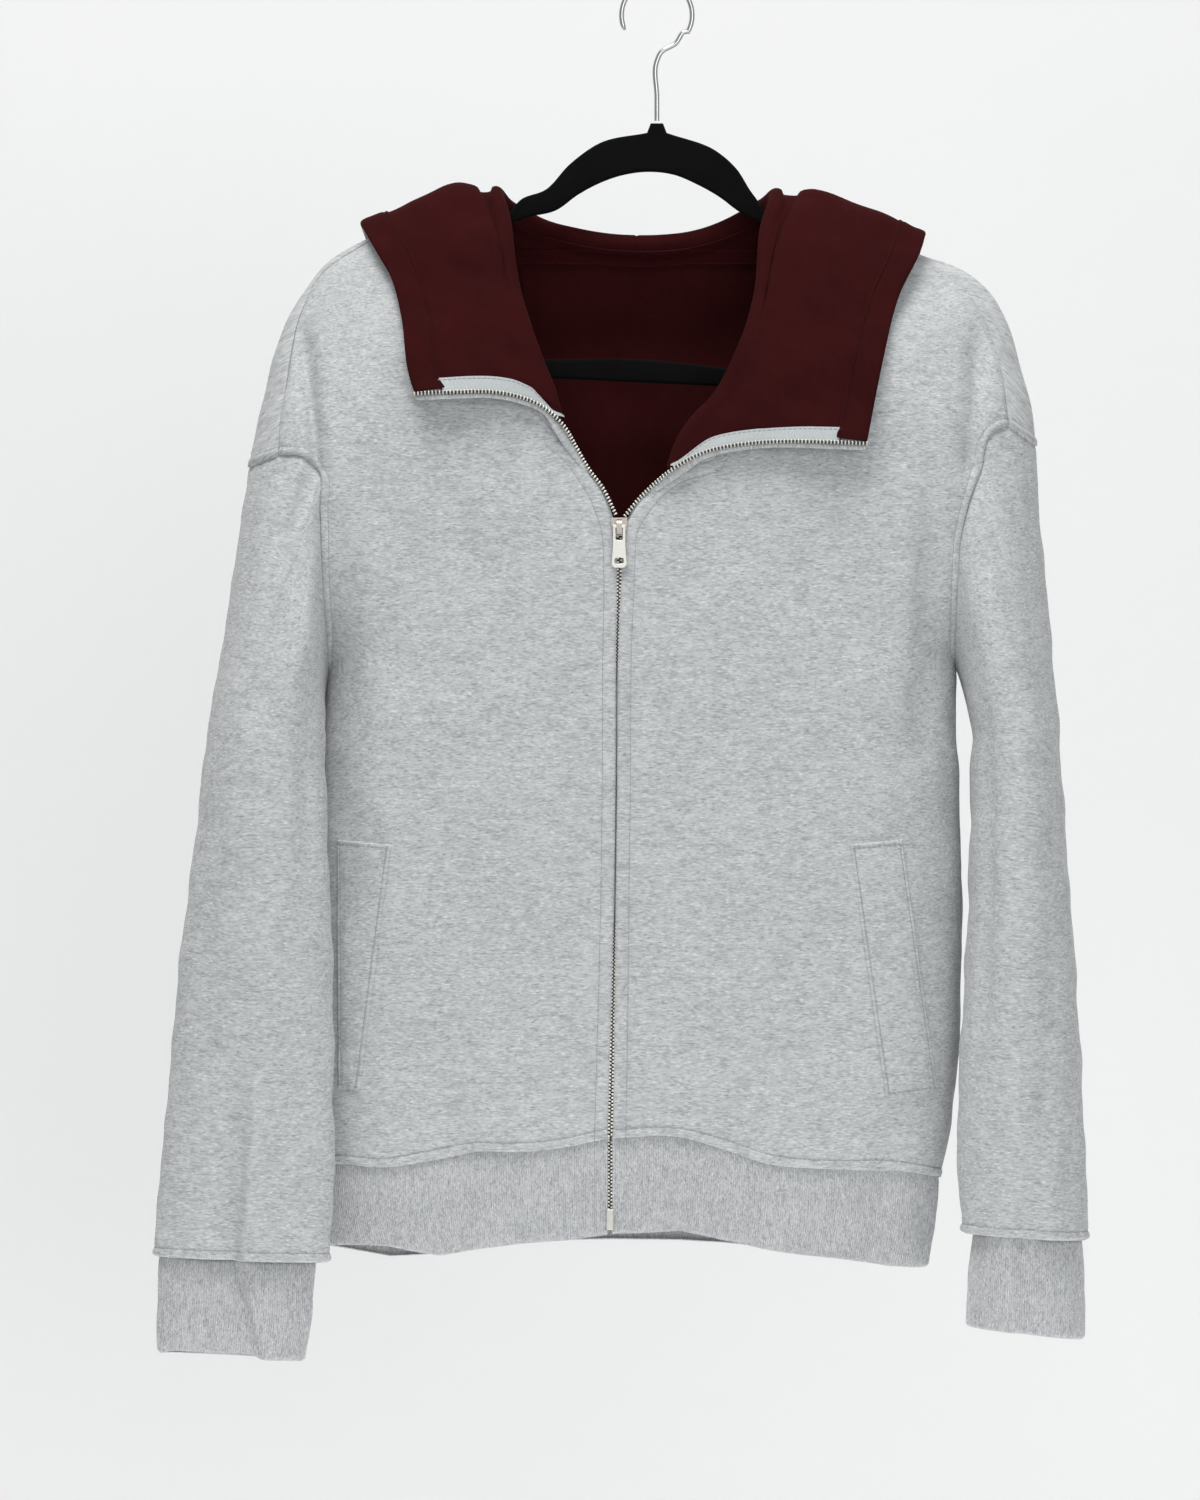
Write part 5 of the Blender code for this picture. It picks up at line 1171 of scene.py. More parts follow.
def hood_table():
    """The hood's sections, a row of numbers each, their places round the neck, and the place of the middle."""
    necks, normals, others, keys = [], [], [], []
    for part, stations in HOODS.items():
        flat = through(NECK[part], [station[0] for station in stations])
        face = 1 if part == "back" else -1
        points = on_body(flat, face)
        necks.append(points)
        normals.append(on_body(flat, face, 1.0) - points)
        for neck, rise, lift, *three in stations:
            others.append((rise, lift))
            three = np.array(three, float)
            if part == "back":
                keys.append(three)
            elif neck == 1.0:
                inward = nearest_edge(three[:, 0], three[:, 1])[1]
                keys.append(on_ridge(three[:, :2], inward, three[:, 2:]))
            else:
                keys.append(on_body(three[:, :2], -1, three[:, 2]))
    necks, normals, keys = np.concatenate(necks), np.concatenate(normals), np.array(keys, float)
    rises, lifts = np.array(others).T[:, :, None]
    into = unit(np.cross(np.gradient(necks, axis=0), normals))
    into = into * (1 - lifts) + np.array([0, 0, 1.0]) * lifts
    for end, side in ((0, "right"), (-1, "left")):
        into[end] = on_body(necks[end][[0, 2]] + np.array(EDGE_WAY[side]), -1) - necks[end]
    into = unit(into)
    outward = unit((necks - NECK_CENTRE) * np.array([1.0, 1.0, 0.0]))
    away = normals * (1 - lifts) + outward * lifts
    away = unit(away - (away * into).sum(1, keepdims=True) * into)
    step = np.linalg.norm(np.diff(keys[:, 1], axis=0), axis=1) + np.linalg.norm(np.diff(necks, axis=0), axis=1)
    knots = np.concatenate([[0.0], np.cumsum(step)])
    knots /= knots[-1]
    table = np.concatenate([necks, into, away, rises, keys.reshape(len(keys), -1)], axis=1)
    return table, knots, knots[len(HOODS["right"]) + len(HOODS["back"]) // 2]


def clear_of_body(points):
    """Pushes points of the hood that lie over the body out until they are clear of it, along its normals."""
    for _ in range(2):
        x, y, z = (points[..., i] for i in range(3))
        near = nearest_edge(x, z)[0]
        for face in (-1, 1):
            form, normal = body_form(x, z, face)[:2]
            height = (face * y - form) * np.abs(normal[..., 1])
            short = np.clip(OFF_BODY - height, 0, 12) * eased(near, 0, 7) * (face * y > 0)
            points = points + normal * short[..., None]
    return points


def fold_place(side, path, run):
    """Where on its way out a line of the hood crosses the lapel's fold, and how strong the fold is there."""
    line = np.array(LAPEL_FOLDS[side])
    outward = np.interp(path[:, 2], line[:, 1], line[:, 0]) - path[:, 0]
    outward = (outward if side == "right" else -outward)[ROLL_STEPS + 3:]
    at = ROLL_STEPS + 3 + int((outward > 0).argmax())
    x, y, z = path[at]
    strength = eased(z, line[0, 1] - 6, line[0, 1] + 34) * (1 - eased(y, 8, 26))
    return run[at], strength


def hood_grid(side, first, last):
    """Rows run from the neck seam over the roll, the sheet and the band, and columns run round the neck."""
    table, knots, _ = HOOD_TABLE
    turn = np.linspace(0, math.pi, ROLL_STEPS + 1)[:, None]
    places = np.linspace(first, last, HOOD_COLUMNS)
    rolls = []
    for row in through(table, places, knots):
        neck, into, away, rise = row[:3], unit(row[3:6]), unit(row[6:9]), row[9]
        start = neck - away * (FLEECE / 2) - into * TUCK
        centre = start + into * (rise + ROLL_RISE) + away * ROLL
        # Where the sheet leaves over the top of the roll, the roll turns less than half round
        over = np.clip(1 + (row[10:13] - centre) @ into / 10, 0, 1)
        part = turn * (1 - 0.42 * over)
        bent = centre + np.sin(part) * into * ROLL - np.cos(part) * away * ROLL
        rolls.append((start, bent, into * (1 - over), row[10:19].reshape(3, 3)))
    rising = on_body(np.array(EDGE_RISE[side]), -1, OFF_BODY) - rolls[0 if side == "right" else -1][1][-1]
    paths = []
    for (start, bent, into, keys), apart in zip(rolls, np.abs(places - (0.0 if side == "right" else 1.0))):
        held = 1 - eased(apart, 0.0, HELD_BY_ZIP)
        leaving = bent[-1] - into * 3.0 * (1 - held) + rising * held
        paths.append(np.concatenate([start[None], bent, through([bent[-1], leaving, *keys], even(120))[2:]]))
    paths = np.stack(paths)
    paths[:, ROLL_STEPS + 2:] = clear_of_body(paths[:, ROLL_STEPS + 2:])
    runs = [run_of(path) for path in paths]
    folds = np.array([fold_place(side, path, run) for path, run in zip(paths, runs)])
    padded = np.pad(folds, ((6, 6), (0, 0)), mode="edge")
    folds = np.stack([np.convolve(padded[:, i], np.ones(13) / 13, mode="valid") for i in (0, 1)], axis=1)
    rim = shares_of(BAND, (0.5, 0.5, 0.6, 0.8), (1.0, 0.8, 0.6, 0.5), BAND / (BAND_ROWS - 4))
    grid = []
    for path, run, fold in zip(paths, runs, folds[:, 0]):
        marks = run[: ROLL_STEPS + 2]
        band = run[-1] - BAND
        fold = np.clip(fold, marks[-1] + 3.0, band - 12.0)
        edge = fold + FOLD_STEP * np.arange(len(FOLD_EDGE))
        before = np.linspace(marks[-1], fold, FOLD_ROW + 1)[1:-1]
        after = np.linspace(edge[-1], band, SHEET_ROWS - FOLD_ROW - len(FOLD_EDGE) + 2)[1:]
        grid.append(along(path, np.concatenate([marks, before, edge, after, band + BAND * rim[1:]]) / run[-1]))
    return np.stack(grid, axis=1), len(rim) - 1, folds[:, 1]


HOOD_TABLE = hood_table()

jersey, feed, place = finish_of("burgundy_jersey", {
    "Roughness": 0.92, "Specular IOR Level": 0.08, "Sheen Weight": 0.08, "Sheen Roughness": 0.4,
    "Sheen Tint": (0.62, 0.14, 0.13, 1)})
nap, pile = place.noise(26.0, 4.0, Roughness=0.6), place.noise(1500.0, 2.0)
strokes = place.stretched((260.0, 260.0, 60.0)).noise(1.0, 2.0)
feed(Base_Color=(nap * 0.9 + strokes * 0.25 + pile * 0.25 - 0.2).tinted(
    (0.019, 0.0023, 0.0025), (0.047, 0.0057, 0.0063)), Normal=(pile + strokes * 0.5).bumped(0.3, 0.0003))


def ply(name, grid, normal, near, far, material, laid):
    """One layer of the hood. near and far are its faces' distances from the middle of the two layers."""
    far, near = (grid + normal * np.broadcast_to(reach, grid.shape[:2])[..., None] for reach in (far, near))
    return cloth(name, far, near, laid, material)


def smoothed_normals(side, grid, centre):
    """Normals of the hood's grid, evened out, and level across the seam down its middle."""
    normal = grid_normals(grid)
    if normal[ROLL_STEPS + 20, 30 if side == "right" else -30, 1] > 0:
        normal = -normal
    for _ in range(10):
        beside = normal[2:-1, :-2] + normal[2:-1, 2:]
        normal[2:-1, 1:-1] += 0.5 * beside + 0.5 * (normal[1:-2, 1:-1] + normal[3:, 1:-1])
        normal = unit(normal)
    normal[:, centre, 0] = 0.0
    normal[:, centre] = unit(normal[:, centre])
    return normal


def folded_back(grid, normal, strength):
    """Folds the front layer of the lapel back over the layer behind it, and ripples the sheet."""
    row = np.arange(len(grid))
    first = ROLL_STEPS + 1 + FOLD_ROW
    end = first + len(FOLD_EDGE)
    reach, height = np.zeros(len(grid)), np.zeros(len(grid))
    reach[first:end], height[first:end] = np.array(FOLD_EDGE).T
    height[end:] = 1.0
    valley = np.where(row < first, 1 - np.clip(np.abs(row - first) / 12.0, 0, 1) ** 2, 0)
    steep = 1 - 0.85 * eased(grid[first, :, 1], -42, -10)
    lift = FOLD_HEIGHT * height[:, None] * (0.4 + 0.6 * steep) - FOLD_VALLEY * valley[:, None] * steep
    lift = lift * strength[None] + ripple(grid, 19.0, 0.9) * eased(row, ROLL_STEPS, ROLL_STEPS + 20)[:, None]
    inward = unit(grid[first - 3] - grid[first + 3])
    back = FOLD_REACH * reach[:, None] * strength[None]
    grid = grid + normal * lift[..., None] + inward[None] * back[..., None]
    true = grid_normals(grid)
    true *= np.sign((true * normal).sum())
    at_fold = bump(row - first - 4, 7.0)[:, None] * strength[None]
    return grid, unit(normal + (true - normal) * at_fold[..., None])


GRIDS, BANDS = {}, {}


def make_hood(side):
    right = side == "right"
    grid, rim, strength = hood_grid(side, *((0.0, HOOD_TABLE[2]) if right else (HOOD_TABLE[2], 1.0)))
    centre, zip_column, beside = (-1, 0, 1) if right else (0, -1, -2)
    grid[:, centre, 0] -= np.sign(grid[0, -1 - centre, 0] - grid[0, centre, 0]) * 0.15
    grid, normal = folded_back(grid, smoothed_normals(side, grid, centre), strength)
    run = run_of(grid)
    across = run_of(grid[40])
    laid = laid_on(across[None], run)
    GRIDS[side] = grid, normal, rim
    near, far = PLY_GAP / 2, PLY_GAP / 2 + HOOD_PLY
    shell = ply(f"hood_{side}_shell", grid, normal, -near, -far, fleece, laid)
    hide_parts(f"hood_shell_{side}")

    # The lining stops short of the zip and is drawn in at the seam down the middle
    rows = slice(0, len(grid) - rim + 2)
    sheet = grid.copy()
    sheet[:, zip_column] += unit(sheet[:, beside] - sheet[:, zip_column]) * LINING_INSET
    from_zip = np.arange(HOOD_COLUMNS) if right else np.arange(HOOD_COLUMNS)[::-1]
    seam = SEAM_DEPTH * bump(from_zip[::-1] * COLUMN_STEP, 1.6)
    lining = ply(f"hood_{side}_lining", sheet[rows], normal[rows], near, far - seam[None], jersey, laid[rows])
    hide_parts(f"hood_lining_{side}")

    # The band's hem, with its row of stitches and its ends folded in beside the zip
    rows = slice(len(grid) - rim - 1, len(grid))
    from_line, from_edge = run[rows] - run[rows][:1], run[-1:] - run[rows]
    thick = far + 1.3 - 1.2 * bump(from_line, 0.9) - 0.75 * bump(from_edge - BAND_STITCH, 0.8)
    thick = thick - 1.2 * (1 - np.clip(from_edge / 1.6, 0, 1)) ** 2 + 0.5 * bump(from_edge - 4, 3.0)
    thick = thick + 0.9 * bump(from_zip, 5.0)[None]
    folded = grid[rows].copy()
    ends = np.linspace(6.2, 4.2, len(folded))[:, None, None] * np.clip(1 - from_zip / 6.0, 0, 1)[None, :, None]
    folded += unit(folded[:, [beside]] - folded[:, [zip_column]]) * ends
    BANDS[side] = folded + normal[rows] * thick[..., None], from_edge
    band = ply(f"hood_{side}_band", folded, normal[rows], near, thick, jersey, laid[rows])
    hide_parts(f"hood_band_{side}")
    return lining


hood_lining = {side: make_hood(side) for side in ("right", "left")}


# ==================================================================== back lining and neck tape
# Seen down through the open neck: the back is faced with the hood's burgundy jersey, and a twill tape in the
# same colour is stitched over the neck seam so that its cut edges don't show.

twill, feed, place = finish_of("burgundy_twill", {"Roughness": 0.9, "Specular IOR Level": 0.06}, ON_CLOTH)
lines = place.node("ShaderNodeTexWave", {"wave_type": "BANDS", "bands_direction": "DIAGONAL"}, {
    "Vector": place, "Scale": 330.0, "Distortion": 1.5, "Detail": 2.0})
feed(Base_Color=(lines * 0.6 + place.noise(160.0, 3.0) * 0.5).tinted(
    (0.022, 0.0025, 0.0030), (0.038, 0.0043, 0.0053)), Normal=lines.bumped(0.15, 0.0002))

# The back's columns between its two wrapped shoulders, and 6 more at each end
columns = slice(side_columns - 6, side_columns + NECK_COLUMNS + 6)
TAPE_TOP, TAPE_WIDTH = 161.5, 9.5
# How far the two faces of the lining and of the tape stand off the back's inside
LINING_FACES, TAPE_FACES = (0.35, 1.85), (2.2, 3.1)
face, inner = WALLS["back"]
into = unit((inner - face)[:, columns])
behind = inner[:, columns]
rows = back_rows + 2
rise = np.array([4.6, 3.0, 1.5])[:, None, None]
behind = np.concatenate([behind[:1] + unit(behind[0] - behind[2])[None] * rise, behind[:rows]])
into = np.concatenate([into[[0, 0, 0]], into[:rows]])
laid = np.concatenate([back_laid[:1, columns] + np.array([0.0, 1.0]) * rise, back_laid[:rows, columns]])
soft = ripple(behind, 30.0, 0.8)
near, far = LINING_FACES
lining = cloth("back_neck_lining", behind + into * (far + 0.3 * soft[..., None]), behind + into * near, laid,
               jersey)
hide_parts("back_lining")
strip, facing_in = [], []
for column in range(5, behind.shape[1] - 5):
    height = -behind[:, column, 2]
    levels = max(height[0], TAPE_TOP) + np.linspace(0, TAPE_WIDTH, 10)
    for rows, values in ((strip, behind), (facing_in, into)):
        rows.append(np.stack([np.interp(levels, height, values[:, column, i]) for i in range(3)], axis=1))
strip, facing_in = np.stack(strip, axis=1), unit(np.stack(facing_in, axis=1))
near, far = TAPE_FACES
outside = strip + facing_in * far
tape = cloth("back_neck_tape", outside, strip + facing_in * near, strip[..., ::2], twill)
UPWARDS = [0, 0, 1.0]
BURGUNDY_STITCHES = [(row[2:-2], np.tile(UPWARDS, (len(row) - 4, 1))) for row in (outside[1], outside[-2])]
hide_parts("neck_tape")


# ==================================================================== zip tapes and facings
# Pale grey herringbone tape. Below the neck it lies hidden behind the edge of each front. On the turned-out
# hood it lies on top of the lining, stitched down along its inner edge, and the fleece rolls up beside it under
# the teeth.

tape_cloth, feed, place = finish_of("grey_herringbone", {"Roughness": 0.8, "Specular IOR Level": 0.3}, ON_CLOTH)
across, down = (place.node("ShaderNodeSeparateXYZ", {}, {0: place}, axis) for axis in ("X", "Y"))
turns = across * (1 / 0.0034)
slanted = (down + turns.maths("PINGPONG", turns, 0.5) * 0.0022) * (2 * math.pi / 0.00095)
weave = slanted.maths("SINE", slanted, 0.0)
feed(Base_Color=(weave * 0.28 + place.noise(900.0, 2.0) * 0.9).tinted((0.42, 0.45, 0.46), (0.72, 0.75, 0.76)),
     Normal=weave.bumped(0.4, 0.0002))

TAPE = 0.8
ON_LINING = PLY_GAP / 2 + HOOD_PLY
# The facing's width, its distance from the lapel's edge, and its stitches' distance from its own
FACING, FACING_INSET, FACING_STITCH = 9.4, 2.6, 1.3
# The half width and half height of the rolled edge of fleece
EDGE_ROLL = (1.9, 1.35)
TEETH = {
    "right": [(-25.4, -326.5), (-32.9, -311.1), (-41.5, -299.5), (-49.0, -286.5)],
    "left": [(-19.6, -327.6), (-9.8, -316), (-2.6, -309.0)],
}
# The grey edge of the front below the teeth, where it turns over on its way to the lapel
UNDER_TEETH = {
    "right": [(-42.6, -301.4), (-51.8, -287.4), (-59.6, -276.0)],
    "left": [(-4.6, -314.2), (2.2, -308.4), (9.2, -303.2)],
}
TEETH_OUT = {"right": (-1.6, -0.8, 0.6, 3.0), "left": (-1.6, -0.6, 2.2)}
# Where the teeth cross the top of the roll
CROWN = {"right": (-56.9, -54.3, -273.2), "left": (8.8, -54.4, -299.8)}


def lapel_edge(side, inset, lift):
    """The lapel's zip edge from the roll to the opening: in from the edge by inset and up by lift."""
    grid, normal, _ = GRIDS[side]
    edge, beside = (0, 3) if side == "right" else (-1, -4)
    step = unit(grid[:, beside] - grid[:, edge])
    return (grid[:, edge] + step * inset + normal[:, edge] * lift)[ROLL_STEPS + 4:]


def zip_path(side):
    """The line of the teeth from the slider up the opening, over the roll and along the lapel."""
    rise = on_body(np.array(TEETH[side]), -1, np.array(TEETH_OUT[side]))
    picked = along(lapel_edge(side, 3.0, ON_LINING + 1.3)[7:], even(9))
    return through(np.concatenate([rise, [CROWN[side]], picked]), even(400))


def make_facing(side):
    """The tape on the lapel, a little narrower where it comes over the roll, and its inner row of stitches."""
    grid, normal, rim = GRIDS[side]
    edge, beside, start = (0, 4, ROLL_STEPS + 1) if side == "right" else (-1, -5, ROLL_STEPS - 2)
    rows = slice(start, len(grid) - rim + 3)
    step = unit(grid[rows, beside] - grid[rows, edge])
    up = normal[rows, edge]
    width = FACING * eased(np.arange(len(up)), -3, 13) + 0.3
    base = grid[rows, edge] + step * FACING_INSET + up * (ON_LINING + 0.35)
    shares = even(8)
    under = base[:, None] + step[:, None] * (shares * width[:, None])[..., None]
    laid = laid_on(shares * 10.0, run_of(base)[:, None])
    top = base + step * (width - FACING_STITCH)[:, None] + up * TAPE
    STITCHES.append((top[6:], np.tile(UPWARDS, (len(top) - 6, 1))))
    return cloth(f"zip_{side}_facing", under + up[:, None] * TAPE, under, laid, tape_cloth)


def make_edge_roll(side):
    """The fleece that rolls up under the teeth, from the front's edge to the end of the lapel."""
    rising = on_body(np.array(UNDER_TEETH[side]), -1, np.array([-0.5, 1.2, 4.4]))
    path = through(np.concatenate([rising, along(lapel_edge(side, 0.9, 0.35)[6:], even(12))]), even(120))
    normals = GRIDS[side][1][ROLL_STEPS + 10::9, 0 if side == "right" else -1]
    facings = np.concatenate([np.tile([0.0, -1.0, 0.0], (3, 1)), normals])
    out = through(facings, even(120), even(len(facings)))
    sideways = unit(np.cross(unit(np.gradient(path, axis=0)), out))
    turn = np.linspace(0, 2 * math.pi, 12, endpoint=False)[None, :, None]
    wide, high = EDGE_ROLL
    section = np.cos(turn) * sideways[:, None] * wide + np.sin(turn) * unit(out)[:, None] * high
    thick = 1 + 0.7 * bump(np.arange(120) - 22, 14.0)
    thick[:3], thick[-3:] = (0.5, 0.8, 0.95), (0.95, 0.8, 0.5)
    section = section * thick[:, None, None]
    laid = laid_on(np.arange(13) * 0.9, run_of(path)[:, None])
    return cloth(f"hood_{side}_zip_edge", path[:, None] + section, path[:, None] + section * 0.35, laid, fleece,
                 ring=True)


def make_tape(side):
    """The hidden tape behind the front's edge, from inside the waistband up to the neck seam."""
    zip_edge = zip_line(side)
    opening = np.concatenate([zip_edge, through(OPENING[side], even(40))[1:-3]])
    outward = np.array([-1.0, 0.0]) if side == "right" else np.array([1.0, 0.0])
    sideways = unit(np.gradient(opening, axis=0)[:, ::-1] * np.array([1.0, -1.0]))
    sideways *= np.sign(sideways @ outward)[:, None]
    reaches = np.linspace(-1.0, 11.0, 7)[None, :, None]
    upper = on_body(opening[:, None] + sideways[:, None] * reaches, -1, -FLEECE - 1.0)
    foot = np.stack([np.full(3, zip_edge[0, 0]), (-762.0, -735.0, -712.0)], axis=1)
    low = foot[:, None] + outward * reaches
    depth = np.interp(low[..., 1], [-762, -706], [WALLS["waistband"][1][-4, 2, 1], upper[0, 0, 1]])
    low = np.stack([low[..., 0], depth + 1.6 * (low[..., 1] < -708), low[..., 1]], axis=-1)
    strip = np.concatenate([low, upper])
    normal = grid_normals(strip)
    normal *= -np.sign(normal[..., 1:2])
    laid = laid_on(np.linspace(0, 12, 7), run_of(strip[:, 0])[:, None])
    return cloth(f"zip_{side}_tape", strip, strip - normal * TAPE, laid, tape_cloth)


ZIP = {}
for side in ("right", "left"):
    ZIP[side] = zip_path(side)
    facing = make_facing(side)
    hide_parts(f"zip_facing_{side}")
    edge_roll = make_edge_roll(side)
    tape = make_tape(side)
    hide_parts(f"zip_tape_{side}")


# ==================================================================== zip teeth
# Nickel-plated teeth, pressed one by one onto the edges of both tapes. Up the open neck each row stands apart;
# below the slider the two rows mesh, each tooth of one between two of the other.


def plated(name, dark, pale):
    material, feed, place = finish_of(name, {"Metallic": 1.0})
    wear = place.noise(420.0, 4.0)
    feed(Base_Color=wear.tinted(dark, pale), Roughness=wear * 0.25 + 0.26, Normal=wear.bumped(0.06, 0.0001))
    return material


nickel = plated("nickel", (0.66, 0.65, 0.60), (0.84, 0.825, 0.765))
worn_nickel = plated("worn_nickel", (0.40, 0.365, 0.32), (0.60, 0.565, 0.51))


def rounded_block(name, size, bevel):
    """A small block with eased edges, as an unlinked object for a tree to repeat."""
    mesh = bpy.data.meshes.new(name)
    shape = bmesh.new()
    bmesh.ops.create_cube(shape, size=MM)
    for vertex in shape.verts:
        vertex.co = [value * side for value, side in zip(vertex.co, size)]
    bmesh.ops.bevel(shape, geom=list(shape.edges), offset=bevel * MM, segments=1, affect="EDGES")
    shape.to_mesh(mesh)
    shape.free()
    mesh.shade_smooth()
    return bpy.data.objects.new(name, mesh)


def spaced_tree():
    """One copy of an object every pitch along the guide, with its Z along the guide and its X along "side"."""
    given, add, finish = node_tree(
        "spaced_copies", {"Pitch": "Float", "Copy": "Object", "Material": "Material"})
    paths = add("GeometryNodeMeshToCurve", {"Mesh": given["Geometry"]})[0]
    points = add("GeometryNodeCurveToPoints", {"Curve": paths, "Length": given["Pitch"]}, mode="LENGTH")
    forward = add("FunctionNodeAlignRotationToVector", {"Vector": points["Tangent"]}, axis="Z")[0]
    sideways = add("GeometryNodeInputNamedAttribute", {"Name": "side"}, data_type="FLOAT_VECTOR")[0]
    turned = add("FunctionNodeAlignRotationToVector", {"Rotation": forward, "Vector": sideways},
                 axis="X", pivot_axis="Z")[0]
    copy = add("GeometryNodeObjectInfo", {"Object": given["Copy"]})["Geometry"]
    return finish(add("GeometryNodeInstanceOnPoints", {
        "Points": points["Points"], "Instance": copy, "Rotation": turned})[0])


SPACED = spaced_tree()


def repeated(name, lines, sides, copy, pitch, material):
    """Copies along guide lines. Each point of a line notes the direction across it in the "side" attribute."""
    guide = lines_mesh(name, lines)
    vectors = np.concatenate([np.asarray(side, float) for side in sides])
    guide.attributes.new("side", "FLOAT_VECTOR", "POINT").data.foreach_set("vector", vectors.ravel())
    bpy.context.scene.collection.objects.link(copy)
    made = grown(name, guide, SPACED, {"Pitch": pitch * MM, "Copy": copy, "Material": material})
    bpy.context.scene.collection.objects.unlink(copy)
    return made


CHAIN_FOOT, CHAIN_HEAD, HEM_Z = -749.0, -338.0, -705.8
# A tooth's size, the bevel of its edges and the pitch of its row, where the chain is open and where it's closed
OPEN_TOOTH, CLOSED_TOOTH = ((2.5, 2.1, 1.15), 0.3, 2.15), ((1.75, 2.1, 1.2), 0.28, 2.2)


def chain_line(offset):
    """The middle of the closed chain, moved sideways by an offset. It lies behind the fronts' edges."""
    middle = zip_middle()
    z = np.linspace(CHAIN_FOOT, CHAIN_HEAD, 260)
    x = np.interp(z, middle[:, 1], middle[:, 0])
    gap = np.interp(z, ZIP_GAP_Z, ZIP_GAP)
    rib = WALLS["waistband"][0][::-1, 2]
    y = on_body(np.stack([x, np.maximum(z, HEM_Z)], axis=1), -1)[:, 1]
    y = np.where(z < HEM_Z, np.interp(z, rib[:, 2], rib[:, 1]), y)
    y = y + np.interp(gap, [1.0, 2.6, 4.9], [3.6, 1.5, 1.7])
    return np.stack([x + offset, y, z], axis=1)


# The cords along the tapes behind the teeth are painted near black. This is painted shade in the gaps between
# the teeth, where the real grey cord lies in shadow.
cord_painted_shade, feed, place = finish_of("zip_cord_painted_shade", {"Roughness": 0.9})
feed(Base_Color=place.noise(1700.0, 2.0).tinted((0.018, 0.018, 0.019), (0.075, 0.075, 0.078)))

for side, shift, rise in (("right", -0.95, 0.0), ("left", 0.95, 1.1)):
    path = ZIP[side]
    core = along(path, even(150)) + np.array([0, 0.35, 0])
    cord = shown(f"zip_{side}_cord", tube("cord", core, np.full(150, 0.8), 8), cord_painted_shade)
    sideways = unit(np.cross(unit(np.gradient(path, axis=0)), (0.0, -1.0, 0.0)))
    size, bevel, pitch = OPEN_TOOTH
    tooth = rounded_block("tooth", size, bevel)
    open_row = repeated(f"teeth_{side}_open", [path], [sideways], tooth, pitch, nickel)
    line = chain_line(shift) + np.array([0, 0, rise])
    size, bevel, pitch = CLOSED_TOOTH
    tooth = rounded_block("tooth", size, bevel)
    across = np.tile([1.0, 0, 0], (len(line), 1))
    closed_row = repeated(f"teeth_{side}_closed", [line], [across], tooth, pitch, nickel)

# Behind the closed chain, the same near-black cord is painted shade between the meshed teeth.
core = chain_line(0.0)[::2] + np.array([0, 0.95, 0])
cord = shown("zip_closed_cord", tube("cord", core, np.full(len(core), 1.15), 8), cord_painted_shade)


# ==================================================================== slider, pull tab and stop
# Die-cast slider with its front plate, bridge and wedge; a flat pull tab that hangs from the bridge by a slot
# and has a rounded hole at its end; and at the foot of the zip the box that takes the pin.

for name, material in (("zip_slider", worn_nickel), ("pull_tab", nickel), ("zip_stop", nickel)):
    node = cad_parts[name]
    node.data.materials.clear()
    node.data.materials.append(material)


# ==================================================================== pocket welts
# A folded strip of the body's fleece stitched over each slanted pocket. Its outer edge is the pocket's mouth,
# held by two close rows of stitches; the other edges are turned under and stitched once.

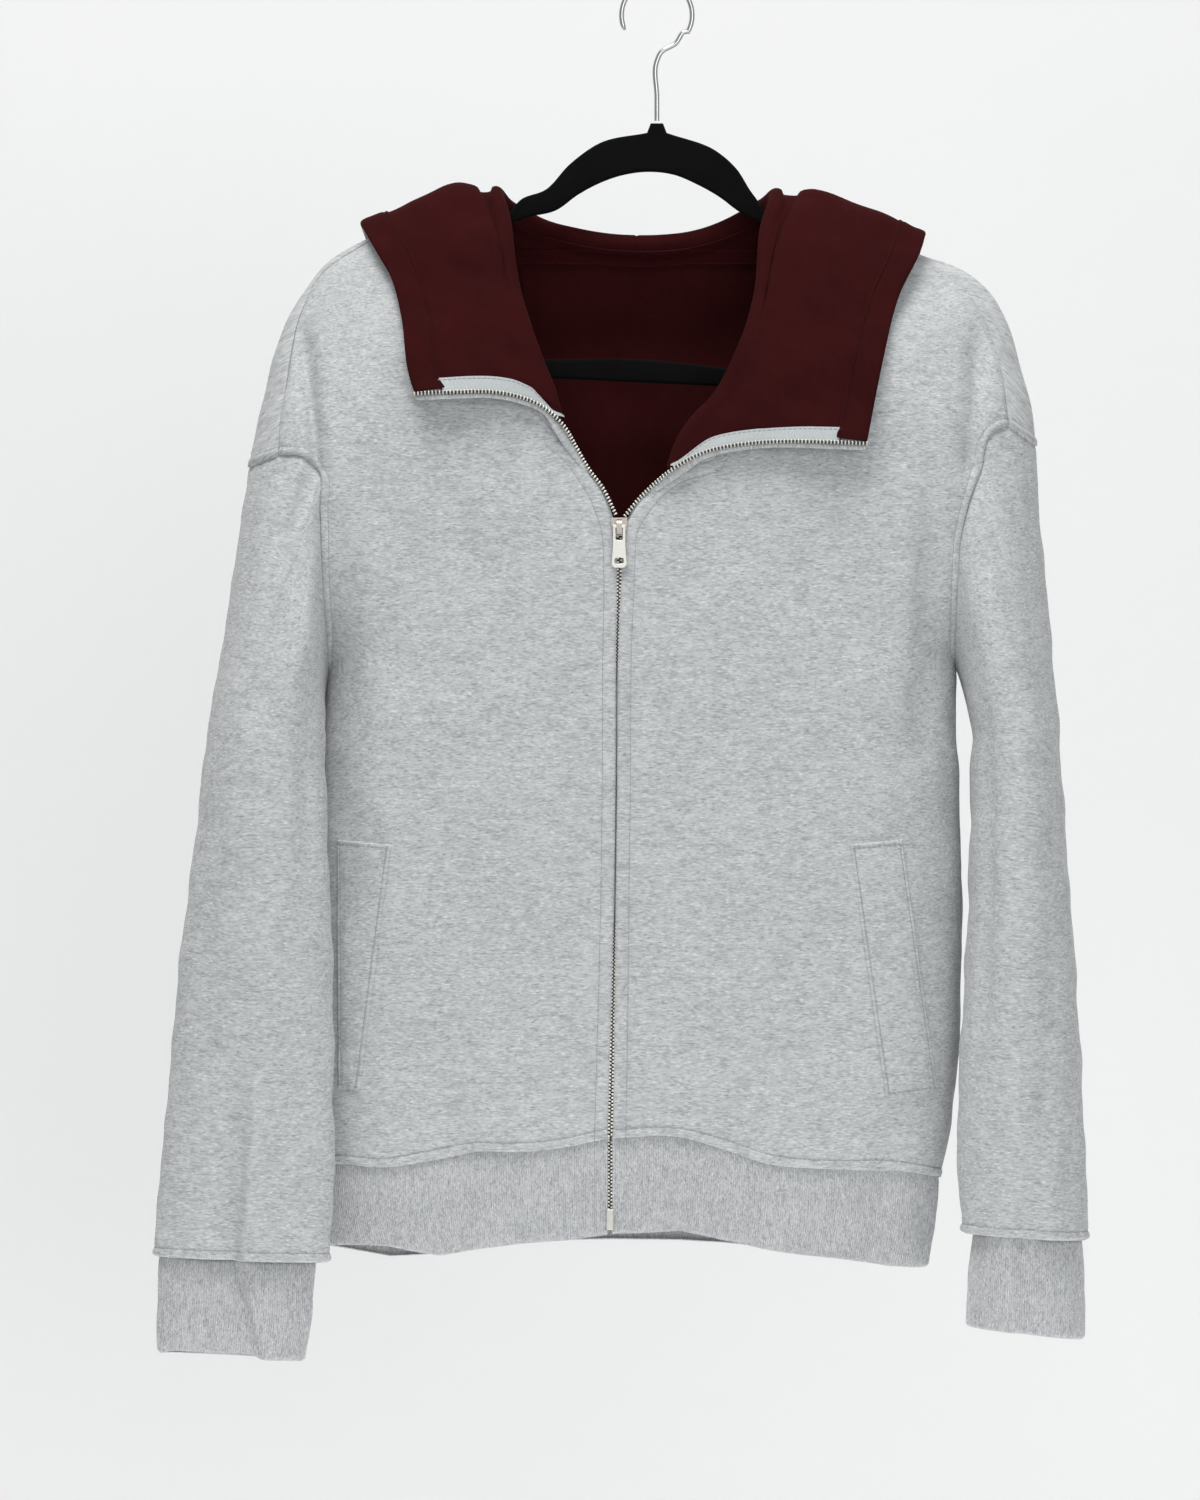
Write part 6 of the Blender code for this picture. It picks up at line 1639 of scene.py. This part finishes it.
WELTS = {
    # The corners, the area of the strip's cloth in square metres, and which of its sides is the mouth
    "right": ([(-194.6, -524.0), (-161.0, -527.0), (-180.6, -677.1), (-194.0, -675.3)], 0.0040, 3),
    "left": ([(116.5, -527.0), (148.8, -524.0), (170.8, -677.1), (138.5, -681.1)], 0.0054, 1),
}
WELT_STITCH, MOUTH_STITCH, WELT_HEIGHT = 2.6, 5.4, 2.1
for side, (corners, area, mouth) in WELTS.items():
    a, b, c, d = corners = np.array(corners)
    u, v = (shares_of(length, (0.5, 0.5, 0.6, 0.8), (0.8, 0.6, 0.5, 0.5), pitch)
            for length, pitch in ((np.linalg.norm(b - a), 1.6), (152.0, 2.4)))
    u, v = u[None, :, None], v[:, None, None]
    flat = (1 - v) * ((1 - u) * a + u * b) + v * ((1 - u) * d + u * c)
    sides = list(zip(corners, np.roll(corners, -1, axis=0)))
    edge = np.minimum.reduce([distance_to(np.array(ends), flat) for ends in sides])
    lift = WELT_HEIGHT * np.clip(edge / 1.1, 0, 1) ** 0.5 - 0.5 * bump(edge - WELT_STITCH, 0.7)
    lift += 0.35 * eased(edge, 3, 8) + ripple(on_body(flat, -1), 14.0, 0.25)
    under = on_body(flat, -1, np.minimum(lift - 1.2, -0.2))
    welt = cloth(f"welt_{side}", on_body(flat, -1, lift), under, laid_flat(flat, -1), fleece)
    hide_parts(f"pocket_welt_{side}")
    middle = flat.mean((0, 1))
    for (start, end), inset in [(ends, WELT_STITCH) for ends in sides] + [(sides[mouth], MOUTH_STITCH)]:
        way = unit(end - start)
        across = np.array([-way[1], way[0]])
        across *= np.sign(across @ (middle - start))
        stops = np.linspace(WELT_STITCH, np.linalg.norm(end - start) - WELT_STITCH, 60)
        line = on_body(start + across * inset + way * stops[:, None], -1, np.full(60, 2.0))
        STITCHES.append((line, np.tile([across[0], 0.0, across[1]], (60, 1))))


# ==================================================================== stitching
# Lockstitch in thread of the cloth's own hue, painted darker than the cloth as shade where the stitches sink
# in:
# grey on the fleece, along the zip, the hem, the armholes, the wrists, the welts and the tape on the lapels,
# and burgundy where the hood's band and the neck tape are sewn down.

for face, from_edge in BANDS.values():
    topstitch(face.swapaxes(0, 1)[:, ::-1], from_edge.T[:, ::-1], BAND_STITCH)
    BURGUNDY_STITCHES.append(STITCHES.pop())

THREADS = {
    "grey": (STITCHES, (0.27, 0.28, 0.29), (0.44, 0.45, 0.46), "heather_fleece"),
    "burgundy": (BURGUNDY_STITCHES, (0.012, 0.0016, 0.002), (0.030, 0.0036, 0.005), "burgundy_jersey"),
}
for name, (rows, dark, pale, slot) in THREADS.items():
    painted_shade_thread, feed, place = finish_of(f"{name}_thread", {"Roughness": 0.7, "Specular IOR Level": 0.15})
    # Each thread's colour is darker than the cloth it sews: painted shade of the stitches sunk into the cloth.
    feed(Base_Color=place.noise(1400.0, 2.0).tinted(dark, pale))
    bead = rounded_block("stitch", (0.5, 0.4, 2.3), 0.13)
    row = repeated(f"{name}_stitches", *zip(*rows), bead, 3.0, painted_shade_thread)
